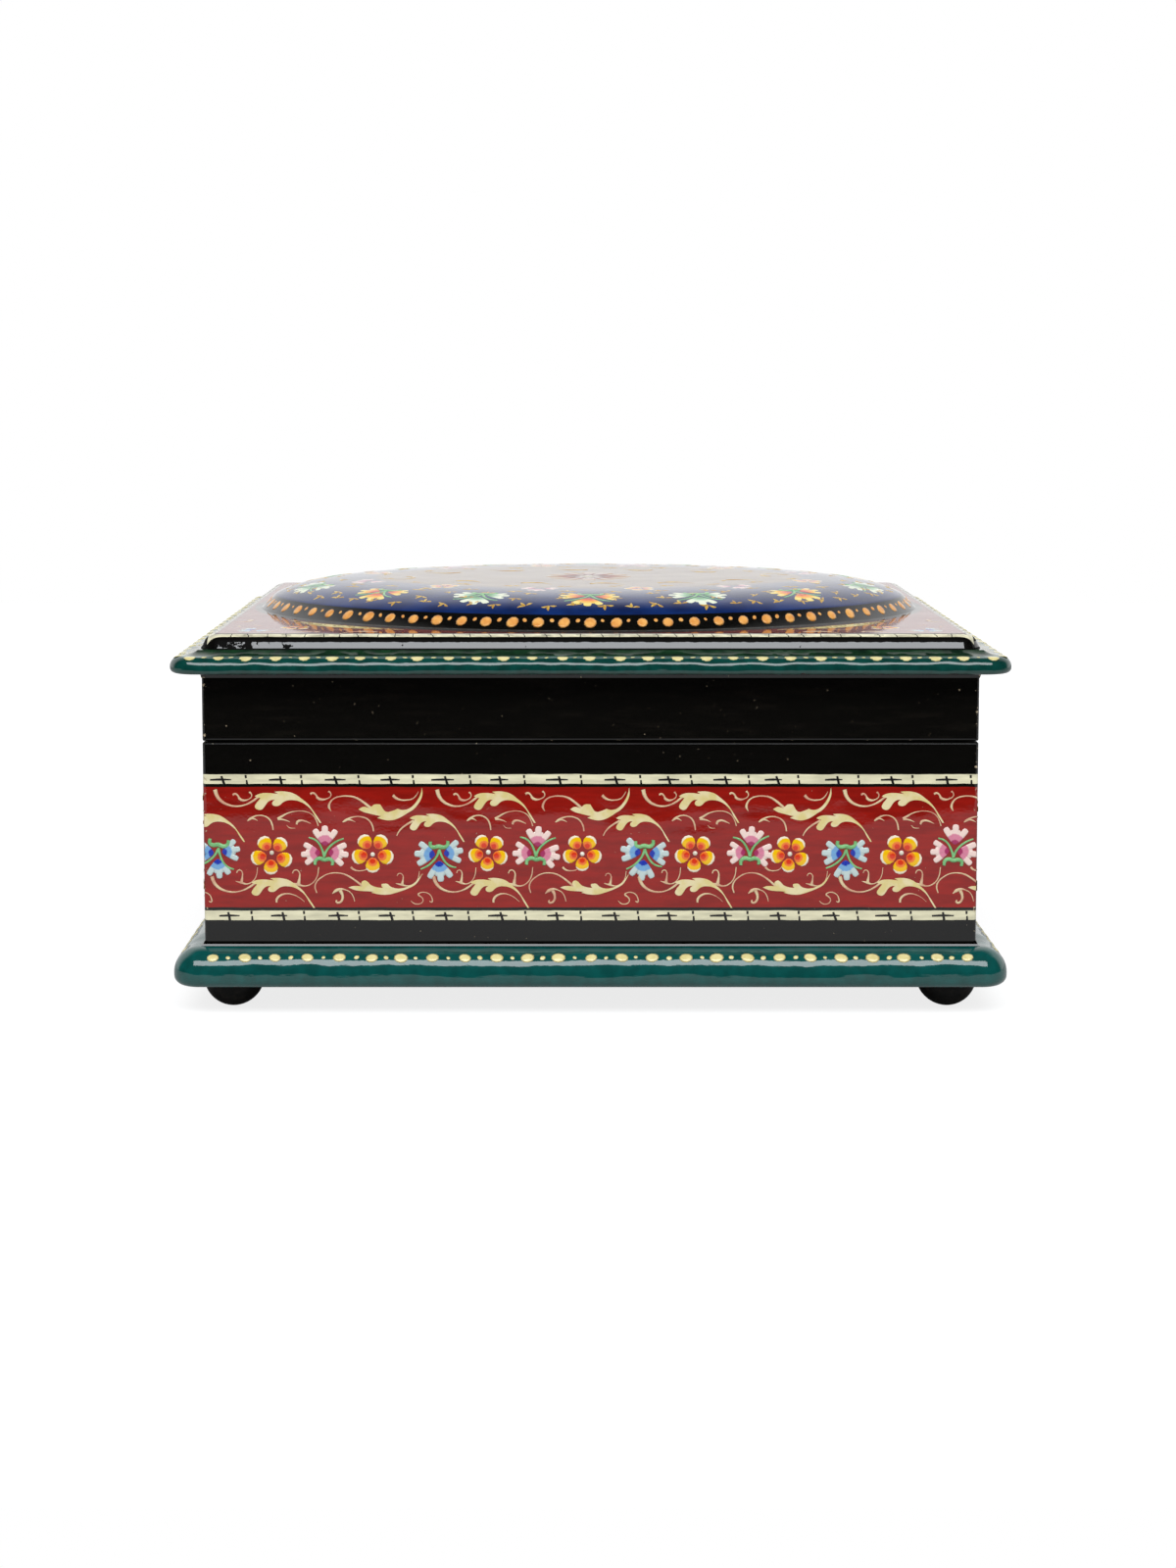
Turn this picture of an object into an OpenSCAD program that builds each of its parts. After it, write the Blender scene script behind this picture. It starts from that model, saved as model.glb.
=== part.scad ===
// Kashmiri papier-mache box: a wooden carcass under painted and lacquered gesso.
// Origin: the middle of the rectangle that the box stands on. X runs to the right, the front
// faces -Y and Z points up. Sizes are in millimetres.

/* [Moulded boards] */
// Width over the base board and the lid board
board_w = 204.2; // [150:0.1:300]
// Depth over the base board and the lid board, front to back
board_d = 153.2; // [120:0.1:240]
// How far both boards stand out from the walls
overhang = 7.35; // [6.7:0.05:9]
// Rounding of the boards' four corners in plan, at least as wide as their mouldings
board_corner = 6.7; // [6.7:0.1:12]
// Thickness of the base board
base_t = 9; // [8.6:0.1:12]
// Quarter round along the base board's upper edge
base_round = 6.2; // [3:0.1:6.4]
// Small round along the base board's lower edge
base_under = 2.2; // [0.5:0.1:2.3]
// Thickness of the lid board
lid_t = 5.3; // [5.3:0.1:8]
// Drop of the shallow hollow between the panel and the lid board's round
lid_hollow = 1.2; // [0.6:0.1:1.5]
// Quarter round outside that hollow
lid_round = 2.6; // [1.2:0.1:2.6]
// Small round along the lid board's lower edge
lid_under = 1.2; // [0.4:0.1:1.2]

/* [Walls and lid rim] */
// Height of the box walls
wall_h = 50.3; // [35:0.1:90]
// Thickness of the box walls
wall_t = 7.5; // [7.1:0.1:10]
// Height of the lid's rim
rim_h = 17.15; // [12:0.05:30]
// Thickness of the lid's rim
rim_t = 7.5; // [7.1:0.1:10]
// Wood left outside the rebates that the side boards seat in
rebate_lip = 3.5; // [3:0.1:4.5]
// Rounding of the walls' upright corners
wall_corner = 1; // [0.4:0.1:2]
// Rounding of the walls' and the rim's edges along the seam
seam_round = 0.6; // [0.2:0.1:0.8]
// Open seam between the walls and the closed lid
seam_gap = 0.3; // [0.2:0.05:0.6]
// Height of the gesso bead where the walls meet the base board
base_bead_h = 1; // [0.6:0.1:1.6]
// How far that bead reaches out
base_bead_w = 0.8; // [0.4:0.1:1]
// Height of the gesso bead under the lid board
lid_bead_h = 1.6; // [0.8:0.1:2.4]
// How far that bead reaches out
lid_bead_w = 0.6; // [0.4:0.1:1]

/* [Feet] */
// Radius of the half-ball feet
foot_r = 7.5; // [6:0.1:9]
// Diameter of the flat that each foot stands on
foot_flat = 3; // [2:0.1:5]
// Distance from the base board's edges to each foot's centre
foot_inset = 13.7; // [11:0.1:24]
// Diameter of the dowel in each foot
dowel_d = 4; // [3:0.1:5]
// How deep the dowels go into the base board
dowel_up = 4.5; // [3:0.1:6]
// How deep the dowels go into the feet
dowel_down = 4; // [2:0.1:4.5]

/* [Lid panel] */
// Distance from the lid board's edge to the panel's foot
panel_inset = 6.7; // [5.5:0.1:12]
// Rounding of the panel's four corners in plan, at its foot
panel_corner = 5.5; // [4.5:0.1:8]
// Thickness of the panel in the middle
panel_t = 3.6; // [3:0.1:6]
// Slope of the panel's steep edge, from level
panel_bevel = 62; // [50:1:75]
// Radius where the steep edge turns over
panel_round = 3.3; // [0.5:0.1:3.4]
// Width of the gently sloped border that carries the cream line
border_w = 2.3; // [1.5:0.1:5]
// Slope of that border, from level
border_slope = 12; // [6:1:16]

/* [Oval dome] */
// Length of the oval
dome_w = 177.8; // [110:0.2:178]
// Width of the oval
dome_d = 121.4; // [80:0.2:122]
// Width of the dotted band around the oval, seen from above
band_w = 4; // [3:0.1:6]
// Height of that band
band_h = 3.75; // [2:0.05:5]
// Rise of the crown above the band
crown_h = 4.2; // [2:0.1:8]
// How flat the crown is in the middle: 2 is a bowl, 10 a tabletop with round shoulders
crown_power = 9.8; // [3:0.2:12]

/* [Hinges] */
// Distance between the middles of the two hinges
hinge_spacing = 110; // [60:1:120]
// Length of each hinge
hinge_len = 20; // [16:1:26]
// Knuckles on each hinge
knuckles = 5; // [3:2:7]
// Radius of the knuckles
knuckle_r = 1.5; // [1.3:0.05:1.7]
// Diameter of the hinge pins
pin_d = 1.2; // [0.9:0.05:1.3]
// Width of each leaf, from the pin's axis
leaf_w = 4.8; // [4.4:0.1:5]
// Thickness of each leaf
leaf_t = 0.8; // [0.6:0.05:1]
// Distance from the back face in to the pin's axis
axis_inset = 2; // [1.9:0.05:2.2]
// How far the lid opens before its back edge meets the walls' back edge
lid_opens = 100; // [90:1:110]
// Distance from a hinge's middle to each of its screws
screw_offset = 6; // [5:0.5:7]
// Diameter of the hinge screws' heads
screw_head_d = 2.8; // [2.4:0.1:3]
// Diameter of the hinge screws' shanks
screw_d = 1.5; // [1.2:0.1:1.8]
// Length of the hinge screws
screw_len = 7; // [4:0.5:10]

/* [Nails] */
// Diameter of the panel pins that hold the carcass
nail_d = 1.4; // [1:0.1:1.8]
// Length of the pins through the corners
corner_nail_len = 16; // [12:0.5:20]
// Depth of filled gesso over the corner pins' heads
nail_sink = 1; // [0.5:0.1:1.5]
// Distance from the walls' corners to the pins that come through the boards
nail_from_corner = 40; // [30:1:44]
// How far the pins through the boards go into the walls and the rim
board_nail_bite = 8; // [5:0.5:10]

/* [Clearances] */
// Gap around each knuckle, and between neighbours
knuckle_play = 0.25; // [0.15:0.05:0.3]
// Added to the pin's diameter in the lid's knuckles
pin_play = 0.12; // [0.08:0.02:0.2]
// Added to the pin's diameter in the box's knuckles, which hold it tight
pin_fit = 0.02; // [0.01:0.01:0.04]
// Gap around each leaf in its recess
leaf_play = 0.1; // [0.05:0.05:0.2]
// Added to the diameter of the holes for screws, nails and dowels
hole_play = 0.1; // [0.05:0.05:0.2]
// Gap that is left between the two back bevels when the lid is fully open
stop_gap = 0.2; // [0.1:0.05:0.3]

/* [Hidden] */
$fn = 64;
spill = 1;                     // how far cutting shapes run past what they cut
dome_sides = 96;               // facets around the oval
crown_rings = 12;              // facets from its shoulder to its middle
ring_spread = 1.6;             // packs those rings toward the shoulder
bead_hollow = 0.35;            // where a gesso bead's hollow face bends, as a share of its legs
pilot_run = 0.3;               // how far a pilot hole runs past its screw or nail
round_facets = 10;             // facets of the round on the panel's edge
corner_facets = 10;            // facets around each corner of the panel
least_corner = 0.3;            // the corner rounding that is always left on its flat top

body_w = board_w - 2 * overhang;
body_d = board_d - 2 * overhang;
foot_h = sqrt(pow(foot_r, 2) - pow(foot_flat / 2, 2));
foot_x = board_w / 2 - foot_inset;
foot_y = board_d / 2 - foot_inset;

base_z = foot_h;
wall_z = base_z + base_t;
wall_top = wall_z + wall_h;
rim_z = wall_top + seam_gap;
rim_top = rim_z + rim_h;
panel_z = rim_top + lid_t;
dome_z = panel_z + panel_t;

panel_w = board_w - 2 * panel_inset;
panel_d = board_d - 2 * panel_inset;
border_rise = border_w * tan(border_slope);
bevel_h = panel_t - border_rise;
panel_edge = bevel_h / tan(panel_bevel) + border_w;   // from the panel's foot to its flat top

axis_y = body_d / 2 - axis_inset;
axis_z = wall_top + seam_gap / 2;
bevel = lid_opens / 2;         // each back edge is planed to half the opening angle
knuckle_pitch = hinge_len / knuckles;
leaf_y = -(leaf_w + knuckle_r) / 2;   // where the screws cross a leaf, from the axis
nail_x = body_w / 2 - nail_from_corner;
nail_y = body_d / 2 - nail_from_corner;

green = "#0b4b43";
black = "#16120f";
red = "#8e2a1d";
blue = "#1c2c50";
beech = "#c79a66";
gesso = "#1f1c19";
brass = "#b08d45";
steel = "#8c8c88";

// ---- Sections and plans ----

// What a quarter round takes off a corner at the origin, with the wood toward -X and -Y
module corner_waste(r) {
    difference() {
        translate([-r, -r]) square(r + spill);
        translate([-r, -r]) circle(r);
    }
}

// A plain rectangle on the X axis with its children cut from both of its sides.
// The children are drawn at the origin, for the right side
module edged_section(height) {
    difference() {
        translate([-$span / 2, 0]) square([$span, height]);
        translate([$span / 2, 0]) children();
        mirror([1, 0]) translate([$span / 2, 0]) children();
    }
}

module base_section() {
    edged_section(base_t) {
        union() {
            translate([0, base_t]) corner_waste(base_round);
            mirror([0, 1]) corner_waste(base_under);
        }
    }
}

// The lid board: a small round below, a quarter round, and a shallow hollow up to the panel
module lid_section() {
    ledge = lid_t - lid_hollow;
    run = panel_inset - lid_round;
    hollow_r = (pow(run, 2) + pow(lid_hollow, 2)) / (2 * lid_hollow);
    edged_section(lid_t) {
        union() {
            translate([0, ledge]) corner_waste(lid_round);
            mirror([0, 1]) corner_waste(lid_under);
            translate([-lid_round, ledge]) square([lid_round + spill, lid_hollow + spill]);
            intersection() {
                translate([-panel_inset, ledge]) square([run, lid_hollow + spill]);
                translate([-lid_round, ledge + hollow_r]) circle(hollow_r);
            }
        }
    }
}

// The walls, with the round along the seam at their top
module wall_section(height) {
    edged_section(height) translate([0, height]) corner_waste(seam_round);
}

// The panel's edge as [inset, height]: a steep bevel and a gentle border, with a round that
// touches them both
panel_profile =
    let (
        turn = tan((panel_bevel - border_slope) / 2) * panel_round,
        low = [bevel_h / tan(panel_bevel), bevel_h] - turn * [cos(panel_bevel), sin(panel_bevel)],
        middle = low + panel_round * [sin(panel_bevel), -cos(panel_bevel)]
    )
    concat(
        [[0, 0]],
        [for (k = [0 : round_facets])
            let (t = panel_bevel + (border_slope - panel_bevel) * k / round_facets)
            middle + panel_round * [-sin(t), cos(t)]],
        [[panel_edge, panel_t]]
    );

// A gesso bead around the walls: two shallow facets that hollow the inner corner
module bead_section(width, height) {
    half = $span / 2;
    foot = half + width;
    bend = [half + width * bead_hollow, height * bead_hollow];
    polygon([
        [-foot, 0], [foot, 0], bend, [half, height], [-half, height], [-bend[0], bend[1]]
    ]);
}

module rounded_plan(w, d, r) {
    square([w - 2 * r, d], center = true);
    square([w, d - 2 * r], center = true);
    for (x = [-1, 1], y = [-1, 1]) translate([x * (w / 2 - r), y * (d / 2 - r)]) circle(r);
}

// A rounded rectangle's outline as points at the height z, moved inward by inset
function plan_ring(w, d, r, inset, z) = [
    for (side = [0 : 3], k = [0 : corner_facets])
        let (
            x = side == 0 || side == 3 ? 1 : -1,
            y = side < 2 ? 1 : -1,
            t = 90 * (side + k / corner_facets)
        )
        [x * (w / 2 - r) + (r - inset) * cos(t), y * (d / 2 - r) + (r - inset) * sin(t), z]
];

// A solid through rings of points from the foot up, closed at both ends toward the middle
module stacked_rings(rings, top_z) {
    count = len(rings);
    sides = len(rings[0]);
    points = concat([for (r = rings, p = r) p], [[0, 0, top_z], [0, 0, 0]]);
    top = count * sides;
    faces = concat(
        [for (r = [0 : count - 2], i = [0 : sides - 1], half = [0, 1])
            let (
                j = (i + 1) % sides,
                a = r * sides + i,
                b = r * sides + j,
                c = (r + 1) * sides + j,
                d = (r + 1) * sides + i
            )
            half == 0 ? [a, c, b] : [a, d, c]],
        [for (i = [0 : sides - 1]) [top - sides + i, top, top - sides + (i + 1) % sides]],
        [for (i = [0 : sides - 1]) [i, (i + 1) % sides, top + 1]]
    );
    polyhedron(points, faces);
}

// A block with its child's section run along all four sides and mitred at the corners
module moulded_block(w, d, reach = 0) {
    intersection() {
        rotate([90, 0, 0]) linear_extrude(d + 2 * reach, center = true) let ($span = w) children();
        rotate([90, 0, 90]) linear_extrude(w + 2 * reach, center = true) let ($span = d) children();
    }
}

// A block with its child's section run along all four sides and turned round its corners
module turned_block(w, d, r, height) {
    rotate([90, 0, 0]) linear_extrude(d - 2 * r, center = true) let ($span = w) children();
    rotate([90, 0, 90]) linear_extrude(w - 2 * r, center = true) let ($span = d) children();
    for (turn = [0 : 3])
        let (x = turn == 0 || turn == 3 ? 1 : -1, y = turn < 2 ? 1 : -1)
        translate([x * (w / 2 - r), y * (d / 2 - r), 0]) rotate([0, 0, 90 * turn])
            rotate_extrude(angle = 90) intersection() {
                square([r, height]);
                let ($span = 2 * r) children();
            }
}

// ---- Boards of the walls and of the rim ----

// The solid that all four walls are cut from
module wall_block() {
    intersection() {
        translate([0, 0, wall_z]) moulded_block(body_w, body_d) wall_section(wall_h);
        translate([0, 0, wall_z]) linear_extrude(wall_h) rounded_plan(body_w, body_d, wall_corner);
    }
}

// The rim's four boards come from the same solid, upside down, with the round at the seam
module rim_block() {
    intersection() {
        translate([0, 0, rim_top]) mirror([0, 0, 1])
            moulded_block(body_w, body_d) wall_section(rim_h);
        translate([0, 0, rim_z]) linear_extrude(rim_h) rounded_plan(body_w, body_d, wall_corner);
    }
}

// Outline of a board that runs across the front or the back (side -1 or 1): full width,
// rebated at both ends for the side boards
module cross_board(side, z, height, thick) {
    difference() {
        translate([0, side * (body_d - thick) / 2, z + height / 2])
            cube([body_w, thick, height], center = true);
        for (end = [-1, 1]) side_board(end, z, height, thick, spill);
    }
}

// Outline of a side board (side -1 or 1), seated in the rebates. With past, it cuts them
module side_board(side, z, height, thick, past = 0) {
    translate([side * (body_w - thick + past) / 2, 0, z + height / 2])
        cube([thick + past, body_d - 2 * rebate_lip, height + 2 * past], center = true);
}

// ---- Nails, screws and their holes ----

// Corner pins: two through the front and back boards into the end of each side board
module corner_nails(z, height, thick, rows, d, past = 0) {
    for (x = [-1, 1], y = [-1, 1], row = [1 : rows])
        translate([
            x * (body_w - thick) / 2,
            y * (body_d / 2 - nail_sink),
            z + height * (2 * row - 1) / (2 * rows)
        ])
            rotate([y * 90, 0, 0]) cylinder(d = d, h = corner_nail_len + past);
}

// Pins through a flat board into the boards around it, from z upward or downward (up 1 or -1)
module board_nails(z, up, length, thick, d, past = 0) {
    places = concat(
        [for (x = [-1, 1], y = [-1, 1]) [x * nail_x, y * (body_d - thick) / 2]],
        [for (x = [-1, 1], y = [-1, 1]) [x * (body_w - thick) / 2, y * nail_y]]
    );
    for (place = places)
        translate([place[0], place[1], z]) mirror([0, 0, up > 0 ? 0 : 1])
            cylinder(d = d, h = length + past);
}

// A countersunk screw, with its head's face at the origin and its tip toward -Z
module screw(play = 0, past = 0) {
    head_h = (screw_head_d - screw_d) / 2;
    translate([0, 0, -head_h])
        cylinder(d1 = screw_d + play, d2 = screw_head_d + play, h = head_h);
    translate([0, 0, -screw_len - past])
        cylinder(d = screw_d + play, h = screw_len + past - head_h);
}

// The screws of both hinges, into the walls (down) or into the rim (up)
module hinge_screws(up, play = 0, past = 0) {
    for (hinge = [-1, 1], end = [-1, 1])
        translate([hinge * hinge_spacing / 2 + end * screw_offset, axis_y + leaf_y, axis_z])
            mirror([0, 0, up ? 1 : 0]) translate([0, 0, -seam_gap / 2]) screw(play, past);
}

module dowels(play = 0) {
    for (x = [-1, 1], y = [-1, 1])
        translate([x * foot_x, y * foot_y, base_z - dowel_down])
            cylinder(d = dowel_d + play, h = dowel_down + dowel_up);
}

// ---- Hinges, drawn about the pin's axis, with the leaf toward -Y ----

// True for the knuckles of the box leaf, which holds the odd ones, or for the lid leaf's
function is_mine(knuckle, lid) = (knuckle % 2 == 0) != lid;
function knuckle_x(knuckle) = (knuckle + 0.5) * knuckle_pitch - hinge_len / 2;

module leaf(lid) {
    bore = pin_d + (lid ? pin_play : pin_fit);
    mirror([0, 0, lid ? 1 : 0]) difference() {
        union() {
            difference() {
                translate([-hinge_len / 2, -leaf_w, -seam_gap / 2 - leaf_t])
                    cube([hinge_len, leaf_w, leaf_t]);
                for (k = [0 : knuckles - 1]) if (!is_mine(k, lid))
                    translate([knuckle_x(k), 0, 0]) rotate([0, 90, 0])
                        cylinder(r = knuckle_r + knuckle_play, h = knuckle_pitch + knuckle_play,
                            center = true);
            }
            for (k = [0 : knuckles - 1]) if (is_mine(k, lid))
                translate([knuckle_x(k), 0, 0]) rotate([0, 90, 0])
                    cylinder(r = knuckle_r, h = knuckle_pitch - knuckle_play, center = true);
        }
        rotate([0, 90, 0]) cylinder(d = bore, h = hinge_len + spill, center = true);
        for (end = [-1, 1])
            translate([end * screw_offset, leaf_y, -seam_gap / 2]) screw(hole_play, spill);
    }
}

// The hollow that takes a hinge: the leaf's shallow recess and the knuckles' round one
module hinge_seat() {
    deep = seam_gap / 2 + leaf_t;
    for (hinge = [-1, 1]) translate([hinge * hinge_spacing / 2, axis_y, axis_z]) {
        translate([-hinge_len / 2 - leaf_play, -leaf_w - leaf_play, -deep])
            cube([hinge_len + 2 * leaf_play, leaf_w + leaf_play, 2 * deep]);
        rotate([0, 90, 0])
            cylinder(r = knuckle_r + knuckle_play, h = hinge_len + 2 * leaf_play, center = true);
    }
}

// Both back edges are planed away from the axis, so that they meet when the lid is open.
// This is the waste above the walls' bevel; the rim's is the same, upside down
module back_bevel() {
    reach = axis_inset + spill;
    lift = stop_gap / 2 / cos(bevel);
    translate([0, axis_y, axis_z]) rotate([90, 0, 90])
        linear_extrude(body_w + 2 * spill, center = true)
            polygon([
                [0, -lift], [reach, -lift - reach * tan(bevel)], [reach, reach], [0, reach]
            ]);
}

module rim_back_bevel() {
    translate([0, 0, 2 * axis_z]) mirror([0, 0, 1]) back_bevel();
}

// ---- The box ----

module base_board() {
    color(green) difference() {
        translate([0, 0, base_z])
            turned_block(board_w, board_d, max(board_corner, base_round), base_t) base_section();
        dowels(hole_play);
        translate([0, 0, -spill]) board_nails(base_z, 1, base_t + 2 * spill, wall_t,
            nail_d + hole_play);
    }
}

// What is bored into the walls for the pins that come through the corners and the base
module wall_nail_holes() {
    corner_nails(wall_z, wall_h, wall_t, 2, nail_d + hole_play, pilot_run);
    translate([0, 0, -spill]) board_nails(wall_z, 1, board_nail_bite + spill, wall_t,
        nail_d + hole_play, pilot_run);
}

module front_wall() {
    color(red) difference() {
        intersection() {
            cross_board(-1, wall_z, wall_h, wall_t);
            wall_block();
        }
        wall_nail_holes();
    }
}

module back_wall() {
    color(red) difference() {
        intersection() {
            cross_board(1, wall_z, wall_h, wall_t);
            wall_block();
        }
        wall_nail_holes();
        back_bevel();
        hinge_seat();
        hinge_screws(false, hole_play, pilot_run);
    }
}

module side_wall(side) {
    color(red) difference() {
        intersection() {
            side_board(side, wall_z, wall_h, wall_t);
            wall_block();
        }
        wall_nail_holes();
    }
}

module base_bead() {
    color(gesso) difference() {
        translate([0, 0, wall_z]) moulded_block(body_w, body_d, base_bead_w)
            bead_section(base_bead_w, base_bead_h);
        translate([0, 0, wall_z - spill]) linear_extrude(base_bead_h + 2 * spill)
            rounded_plan(body_w, body_d, wall_corner);
    }
}

// A half ball with a small flat to stand on, glued and dowelled under the base board
module foot(x, y) {
    color(black) difference() {
        translate([x * foot_x, y * foot_y, base_z]) rotate_extrude() intersection() {
            circle(foot_r);
            translate([0, -foot_h]) square([foot_r, foot_h]);
        }
        dowels(hole_play);
    }
}

module foot_dowels() {
    color(beech) dowels();
}

module wall_nails() {
    color(steel) corner_nails(wall_z, wall_h, wall_t, 2, nail_d);
}

module base_nails() {
    color(steel) board_nails(base_z, 1, base_t + board_nail_bite, wall_t, nail_d);
}

module hinge_at(side) {
    translate([side * hinge_spacing / 2, axis_y, axis_z]) children();
}

module box_leaf(side) {
    color(brass) hinge_at(side) leaf(false);
}

module hinge_pin(side) {
    color(brass) hinge_at(side) rotate([0, 90, 0]) cylinder(d = pin_d, h = hinge_len, center = true);
}

module hinge_box_screws() {
    color(brass) hinge_screws(false);
}

// ---- The lid ----

module rim_nail_holes() {
    corner_nails(rim_z, rim_h, rim_t, 1, nail_d + hole_play, pilot_run);
    translate([0, 0, spill]) board_nails(rim_top, -1, board_nail_bite + spill, rim_t,
        nail_d + hole_play, pilot_run);
}

module front_rim() {
    color(black) difference() {
        intersection() {
            cross_board(-1, rim_z, rim_h, rim_t);
            rim_block();
        }
        rim_nail_holes();
    }
}

module back_rim() {
    color(black) difference() {
        intersection() {
            cross_board(1, rim_z, rim_h, rim_t);
            rim_block();
        }
        rim_nail_holes();
        rim_back_bevel();
        hinge_seat();
        hinge_screws(true, hole_play, pilot_run);
    }
}

module side_rim(side) {
    color(black) difference() {
        intersection() {
            side_board(side, rim_z, rim_h, rim_t);
            rim_block();
        }
        rim_nail_holes();
    }
}

module lid_bead() {
    color(gesso) difference() {
        translate([0, 0, rim_top]) mirror([0, 0, 1]) moulded_block(body_w, body_d, lid_bead_w)
            bead_section(lid_bead_w, lid_bead_h);
        translate([0, 0, rim_top - lid_bead_h - spill]) linear_extrude(lid_bead_h + 2 * spill)
            rounded_plan(body_w, body_d, wall_corner);
    }
}

module lid_board() {
    color(green) difference() {
        translate([0, 0, rim_top])
            turned_block(board_w, board_d, max(board_corner, panel_inset), lid_t) lid_section();
        translate([0, 0, spill]) board_nails(panel_z, -1, lid_t + 2 * spill, rim_t,
            nail_d + hole_play);
    }
}

module lid_panel() {
    r = max(panel_corner, panel_edge + least_corner);
    color(red) translate([0, 0, panel_z]) stacked_rings(
        [for (p = panel_profile) plan_ring(panel_w, panel_d, r, p[0], p[1])], panel_t);
}

// The oval's outline moved inward by d, at the angle t
function oval(t, d) =
    let (
        a = dome_w / 2,
        b = dome_d / 2,
        outward = [b * cos(t), a * sin(t)] / norm([b * cos(t), a * sin(t)])
    )
    [a * cos(t), b * sin(t)] - d * outward;

function ring(d, shrink, z) = [
    for (i = [0 : dome_sides - 1])
        let (p = shrink * oval(360 * i / dome_sides, d)) [p[0], p[1], z]
];

// A straight dotted band, then shoulders that roll over into a nearly flat crown
module oval_dome() {
    shrinks = [for (k = [0 : crown_rings - 1]) 1 - pow(k / crown_rings, ring_spread)];
    rings = concat(
        [ring(0, 1, 0)],
        [for (s = shrinks) ring(band_w, s, band_h + crown_h * (1 - pow(s, crown_power)))]
    );
    color(blue) translate([0, 0, dome_z]) stacked_rings(rings, band_h + crown_h);
}

module rim_nails() {
    color(steel) corner_nails(rim_z, rim_h, rim_t, 1, nail_d);
}

module lid_nails() {
    color(steel) board_nails(panel_z, -1, lid_t + board_nail_bite, rim_t, nail_d);
}

module lid_leaf(side) {
    color(brass) hinge_at(side) leaf(true);
}

module hinge_lid_screws() {
    color(brass) hinge_screws(true);
}

base_board();
front_wall();
back_wall();
side_wall(-1);  // left_wall
side_wall(1);  // right_wall
base_bead();
foot(-1, -1);  // foot_front_left
foot(1, -1);  // foot_front_right
foot(-1, 1);  // foot_back_left
foot(1, 1);  // foot_back_right
foot_dowels();
wall_nails();
base_nails();
box_leaf(-1);  // left_hinge_box_leaf
box_leaf(1);  // right_hinge_box_leaf
hinge_pin(-1);  // left_hinge_pin
hinge_pin(1);  // right_hinge_pin
hinge_box_screws();
front_rim();
back_rim();
side_rim(-1);  // left_rim
side_rim(1);  // right_rim
lid_bead();
lid_board();
lid_panel();
oval_dome();
rim_nails();
lid_nails();
lid_leaf(-1);  // left_hinge_lid_leaf
lid_leaf(1);  // right_hinge_lid_leaf
hinge_lid_screws();
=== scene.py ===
"""A painted and varnished papier-mache box: its finish, its brushwork and the studio around it."""
import math
import random

import bpy
from mathutils import Matrix, Vector


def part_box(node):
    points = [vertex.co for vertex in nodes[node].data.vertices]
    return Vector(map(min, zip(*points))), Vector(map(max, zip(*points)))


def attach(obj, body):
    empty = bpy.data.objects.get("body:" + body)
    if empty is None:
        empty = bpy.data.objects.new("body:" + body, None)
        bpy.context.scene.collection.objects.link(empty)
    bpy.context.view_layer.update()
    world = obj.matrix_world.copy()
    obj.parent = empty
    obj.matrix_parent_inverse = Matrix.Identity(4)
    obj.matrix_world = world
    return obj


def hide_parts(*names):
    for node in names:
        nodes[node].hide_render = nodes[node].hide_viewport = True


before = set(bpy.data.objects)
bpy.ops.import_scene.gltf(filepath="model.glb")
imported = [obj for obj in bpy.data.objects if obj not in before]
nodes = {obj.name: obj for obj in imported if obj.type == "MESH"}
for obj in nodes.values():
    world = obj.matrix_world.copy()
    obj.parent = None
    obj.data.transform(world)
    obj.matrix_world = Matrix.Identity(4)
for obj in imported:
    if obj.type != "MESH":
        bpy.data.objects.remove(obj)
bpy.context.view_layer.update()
bpy.ops.object.select_all(action="DESELECT")
MM = 0.001

# ---- Camera ----
# It stands a little above the lid and looks straight at the front, tipped down by a few degrees.
# The photograph shows more floor than sky, so the lens is shifted as its framing needs.
PHOTO_W, PHOTO_H = 1200, 1600
FOCAL_PX = 2330.3
AXIS_PX = (585.0, 563.2)
EYE = Vector((-4.2, -620.35, 157.9)) * MM
TIPPED_DOWN = math.radians(4.635)

bpy.ops.object.camera_add(location=EYE, rotation=(math.pi / 2 - TIPPED_DOWN, 0, 0))
camera = bpy.context.object
camera.data.lens = FOCAL_PX * camera.data.sensor_width / PHOTO_H
camera.data.shift_x = (PHOTO_W / 2 - AXIS_PX[0]) / PHOTO_H
camera.data.shift_y = (AXIS_PX[1] - PHOTO_H / 2) / PHOTO_H
camera.data.clip_start = 0.01
bpy.context.scene.camera = camera

# ---- Base board ----
# The moulded board that the walls stand on: wood under gesso, brushed green and varnished.
# The brush left it slightly uneven along its length, so the light along its edge wanders.
GREEN = "#06504c"
GREEN_DEEP = "#054541"
GREEN_CHIP = "#141310"
UNDERSIDE = "#12110f"              # also the floor inside the box
FLOOR_INSET = 9.5                  # from the board's edges in to where that floor starts, mm
SKIN = 0.1                         # what lies less than this from a flat face counts as on it, mm


def linear(code):
    """An sRGB hex colour as the linear RGBA that Blender takes."""
    shares = [int(code[i:i + 2], 16) / 255 for i in (1, 3, 5)]
    return [c / 12.92 if c <= 0.04045 else ((c + 0.055) / 1.055) ** 2.4 for c in shares] + [1]


def node(tree, kind, inputs, stops=(), **settings):
    """Adds a node with its settings, and values, hex colours or links for its inputs.

    Stops are a ramp's. What comes back is the first output that the settings leave in use.
    """
    made = tree.nodes.new("ShaderNode" + kind)
    for name, value in settings.items():
        setattr(made, name, value)
    for name, value in inputs.items():
        if isinstance(value, bpy.types.NodeSocket):
            tree.links.new(value, made.inputs[name])
        else:
            made.inputs[name].default_value = linear(value) if isinstance(value, str) else value
    if stops:
        ramp = made.color_ramp
        while len(ramp.elements) < len(stops):
            ramp.elements.new(0.5)
        for element, (place, code) in zip(ramp.elements, stops):
            element.position = place
            element.color = linear(code)
    return next((output for output in made.outputs if output.enabled), None)


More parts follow.
